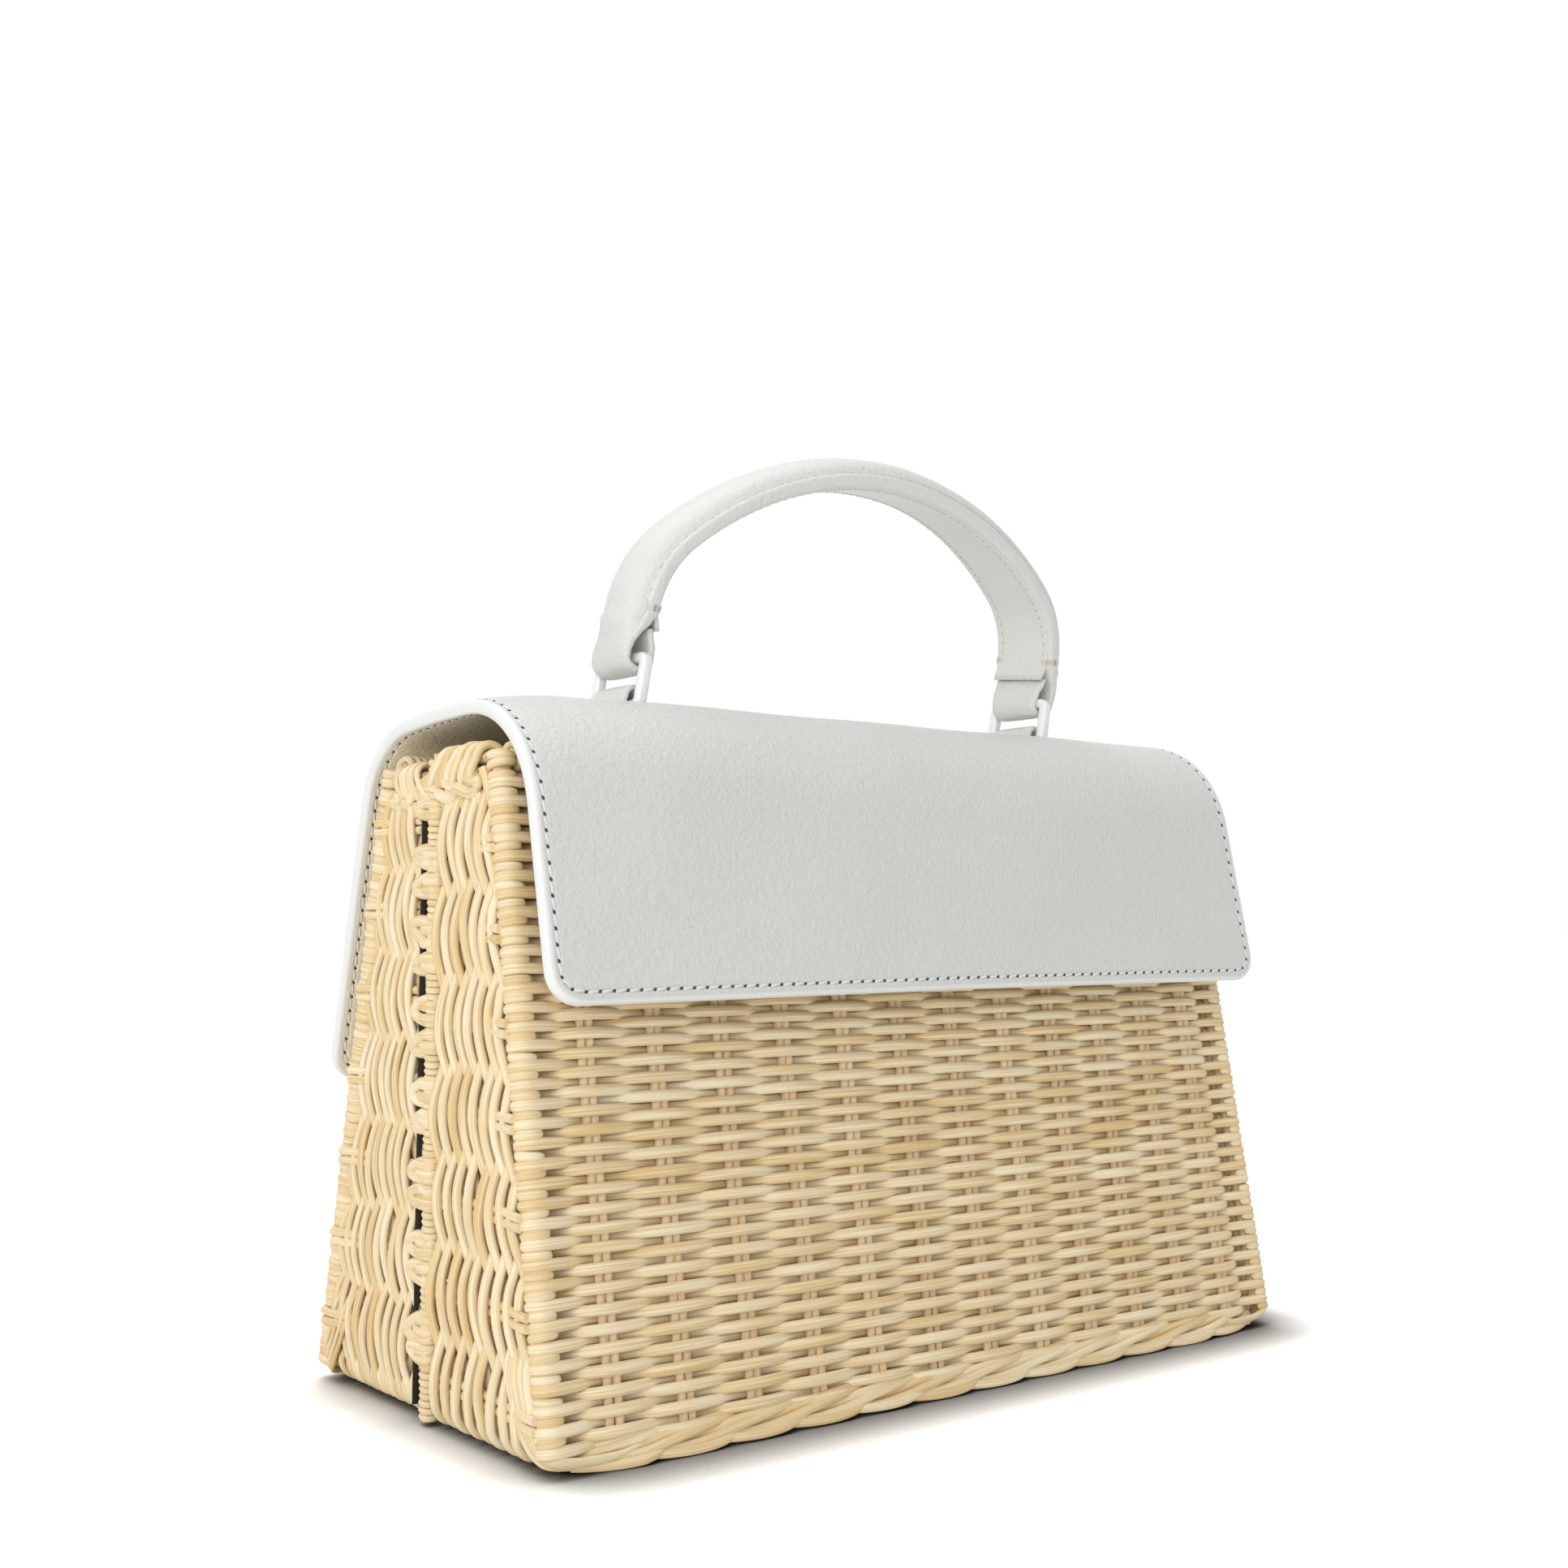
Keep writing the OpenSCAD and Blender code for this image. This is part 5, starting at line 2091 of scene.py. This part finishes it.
@dataclass
class Studio:
    """Floor, light and camera of the photograph.

    Attributes:
        place: camera's place in metres.
        right: direction of the picture's right edge.
        up: direction of its upper edge.
        back: direction from the bag to the camera.
        lens: focal length for a sensor of 36 mm.
        floor_tone: colour of the floor as it lights the bag.
        floor_seen: brightness of the floor as it is seen.
        shade_reach: how far the bag's contact shadow reaches, in metres.
        shade_way: direction in which the floor looks for what shades it.
        shade_power: how fast that shadow deepens towards the bag.
        world_level: strength of the world as it lights the bag.
    """

    place: Triple = (-0.3807, -0.4592, 0.1362)
    right: Triple = (0.78369, -0.62115, 0.0)
    up: Triple = (-0.05220, -0.06585, 0.99646)
    back: Triple = (-0.61895, -0.78092, -0.08403)
    lens: float = 40.67
    floor_half: float = 30.0
    floor_tone: Triple = (0.88, 0.88, 0.88)
    floor_seen: float = 1.5
    shade_reach: float = 0.03
    shade_way: Triple = (-0.3, 0.5, 0.81)
    shade_power: float = 2.2
    world_level: float = 0.41

    def camera(self) -> None:
        """Puts the camera where the photograph was taken."""
        data = bpy.data.cameras.new("photo_camera")
        data.sensor_width = 36.0
        data.lens = self.lens
        data.clip_start = 0.01
        camera = bpy.data.objects.new("photo_camera", data)
        turn = Matrix((self.right, self.up, self.back)).transposed()
        camera.matrix_world = Matrix.Translation(Vector(self.place)) @ turn.to_4x4()
        bpy.context.scene.collection.objects.link(camera)
        bpy.context.scene.camera = camera

    def floor(self) -> None:
        """Lays a plain white floor, which the camera sees white apart from the bag's shadow: the lamps'
        shadow and a contact shadow painted into its colour from ambient occlusion.
        """
        size = self.floor_half
        corners = [(-size, -size, 0), (size, -size, 0), (size, size, 0), (-size, size, 0)]
        mesh = bpy.data.meshes.new("floor")
        mesh.from_pydata(corners, [], [(0, 1, 2, 3)])
        mat = bpy.data.materials.new("floor_white")
        mat.use_nodes = True
        tree = mat.node_tree
        graph = Graph(tree)
        way = graph.add("ShaderNodeCombineXYZ", dict(enumerate(self.shade_way))).outputs[0]
        shade = {"Distance": self.shade_reach, "Normal": way}
        # Painted contact shadow: ambient occlusion darkens the floor's colour near the bag, looking along
        # shade_way.
        near = graph.add("ShaderNodeAmbientOcclusion", shade, samples=16).outputs["AO"]
        seen = graph.maths("MULTIPLY", graph.maths("POWER", near, self.shade_power), self.floor_seen)
        tone = graph.mix(self._seen(graph), self.floor_tone, seen)
        matt = graph.add("ShaderNodeBsdfDiffuse", {"Color": tone}).outputs[0]
        graph.feed(tree.nodes["Material Output"], {"Surface": matt})
        tree.nodes.remove(tree.nodes["Principled BSDF"])
        mesh.materials.append(mat)
        new_object("floor", mesh)

    def light(self) -> None:
        """Sets the soft lights and a white world."""
        world = bpy.data.worlds.new("studio")
        world.use_nodes = True
        bpy.context.scene.world = world
        graph = Graph(world.node_tree)
        levels = {"Value": self._seen(graph), "To Min": self.world_level, "To Max": 1.0}
        strength = graph.add("ShaderNodeMapRange", levels).outputs[0]
        graph.feed(world.node_tree.nodes["Background"], {"Color": (1, 1, 1, 1), "Strength": strength})
        self._lamp("top", (0.05, 0.12, 1.0), 60.0, 0.46)
        self._lamp("left", (-1.0, -0.3, 0.3), 60.0, 0.38)
        self._panel("front", (-0.62, -0.58, 0.40), (0.0, -0.05, 0.12), 0.5, 1.6)

    @staticmethod
    def _seen(graph: Graph) -> Socket:
        """A value of 1 for rays that show the background: from the camera, off gloss and through glass.

        Args:
            graph: nodes of the floor or the world.

        Returns:
            The value.
        """
        rays = graph.add("ShaderNodeLightPath").outputs
        value = graph.maths("MAXIMUM", rays["Is Camera Ray"], rays["Is Glossy Ray"])
        return graph.maths("MAXIMUM", value, rays["Is Transmission Ray"])

    @staticmethod
    def _hang(data: bpy.types.Light, way: Vector) -> Object:
        """Links a light that shines against a direction.

        Args:
            data: the light.
            way: direction from the bag to the light.

        Returns:
            The light's object.
        """
        lamp = bpy.data.objects.new(data.name, data)
        lamp.rotation_euler = way.to_track_quat("Z", "Y").to_euler()
        bpy.context.scene.collection.objects.link(lamp)
        return lamp

    def _panel(self, name: str, place: Triple, aim: Triple, size: float, power: float) -> None:
        """Adds a square soft light close by.

        Args:
            name: name of the light.
            place: its place in metres.
            aim: the point that it faces.
            size: its side in metres.
            power: its power in watts.
        """
        data = bpy.data.lights.new(name, "AREA")
        data.size = size
        data.energy = power
        self._hang(data, Vector(place) - Vector(aim)).location = place

    def _lamp(self, name: str, way: Triple, width: float, level: float) -> None:
        """Adds a wide soft light from far away.

        Args:
            name: name of the light.
            way: direction from the bag to the light.
            width: angle that it fills, in degrees.
            level: brightness that it gives a white face turned to it.
        """
        data = bpy.data.lights.new(name, "SUN")
        data.angle = math.radians(width)
        data.energy = level * math.pi
        self._hang(data, Vector(way))


# The whole bag


class Bag:
    """The whole object: builds each sub-assembly and ties it to its CAD body, apart from the cover and its
    stitches, which stay unattached.

    Attributes:
        fullness: thickness of the front and the rear wall's weavers over their usual one.
        fold_start, fold_end: where a turn of the cover with the flap would start and end, in metres.
    """

    fullness = (1.06, 1.14)
    fold_start: Triple = (0.0, 0.050, 0.17)
    fold_end: Triple = (0.0, 0.036, 0.17)

    def __init__(self, frame: dict) -> None:
        self.frame = frame
        self.shop = Workshop()
        self.cover = CoverSizes()

    @staticmethod
    def _report(piece: Object) -> None:
        """Logs a finished piece."""
        LOG.info("%s: %d faces", piece.name, len(piece.data.polygons))

    def _place(self, piece: Object, body: Body, slot: str, *nodes: str) -> None:
        """Ties a piece to its body.

        Args:
            piece: the piece.
            body: the body that it rides on.
            slot: the record's material slot; not used.
            nodes: CAD nodes that it replaces.
        """
        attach(piece, body.value)
        if nodes:
            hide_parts(*nodes)
        self._report(piece)

    def weave(self) -> None:
        """Builds the basket."""
        tools = (self.shop, BasketSizes())
        basket = Body.BASKET
        for half in Half:
            word = half.word
            woven, stakes = FaceWall(*tools, half, fullness=half.pick(*self.fullness)).build()
            self._place(woven, basket, "woven_reed", f"{word}_wall")
            self._place(stakes, basket, "woven_reed")
            self._place(Border(*tools, half).build(), basket, "wrapped_reed", f"{word}_border")
            self._place(TopRim(*tools, half).build(), basket, "wrapped_reed", f"{word}_rim")
            self._place(Base(*tools, half).build(), basket, "woven_reed", f"{word}_base")
            for side in Side:
                edge = f"{word}_{side.word}"
                self._place(Post(*tools, half, side).build(), basket, "wrapped_reed", f"{edge}_post")
                gusset = Gusset(*tools, half, side).build()
                self._place(gusset, basket, "woven_reed", f"{edge}_gusset", f"{edge}_rim")
        for side in Side:
            for sheet in Backing(*tools, side=side).build():
                self._place(sheet, basket, "woven_reed")
            rod, lacing = Seam(*tools, side=side).build()
            self._place(rod, basket, "wrapped_reed", f"{side.word}_seam_rod")
            self._place(lacing, basket, "wrapped_reed", f"{side.word}_ties")

    def leather(self) -> None:
        """Builds the cover with its stitches."""
        cover = LeatherCover(self.shop, self.cover)
        pieces = [cover.build(), *cover.stitches()]
        for piece in pieces:
            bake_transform(piece)
            self._report(piece)
        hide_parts("rear_cover", "flap")

    def carry(self) -> None:
        """Builds the handle, the rings and the tabs."""
        sizes = HandleSizes()
        strap, lining, *threads = Handle(self.shop, sizes).build()
        self._place(strap, Body.HANDLE, "white_leather", "handle_strap")
        self._place(lining, Body.HANDLE, "lining_leather", "handle_lining")
        for piece in threads:
            self._place(piece, Body.HANDLE, "white_leather")
        for side, body in ((Side.LEFT, Body.LEFT_RING), (Side.RIGHT, Body.RIGHT_RING)):
            ring = Ring(self.shop, sizes, side).build()
            self._place(ring, body, "white_lacquer", f"{side.word}_ring")
            tab = Tab(self.shop, sizes, self.cover, side).build()
            self._place(tab, Body.FLAP, "white_leather", f"{side.word}_tab")

    def snap(self) -> None:
        """Gives the snap its metal."""
        for name in ("snap_socket", "snap_magnet"):
            node = self.frame["nodes"][name]
            node.data.materials.clear()
            node.data.materials.append(self.shop.mats.of(STEEL))
            self._report(node)


def main() -> None:
    """Builds the scene."""
    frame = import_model()
    bpy.context.scene.view_settings.view_transform = "Standard"
    studio = Studio()
    studio.camera()
    studio.floor()
    studio.light()
    bag = Bag(frame)
    bag.weave()
    bag.leather()
    bag.carry()
    bag.snap()


if __name__ == "__main__":
    main()
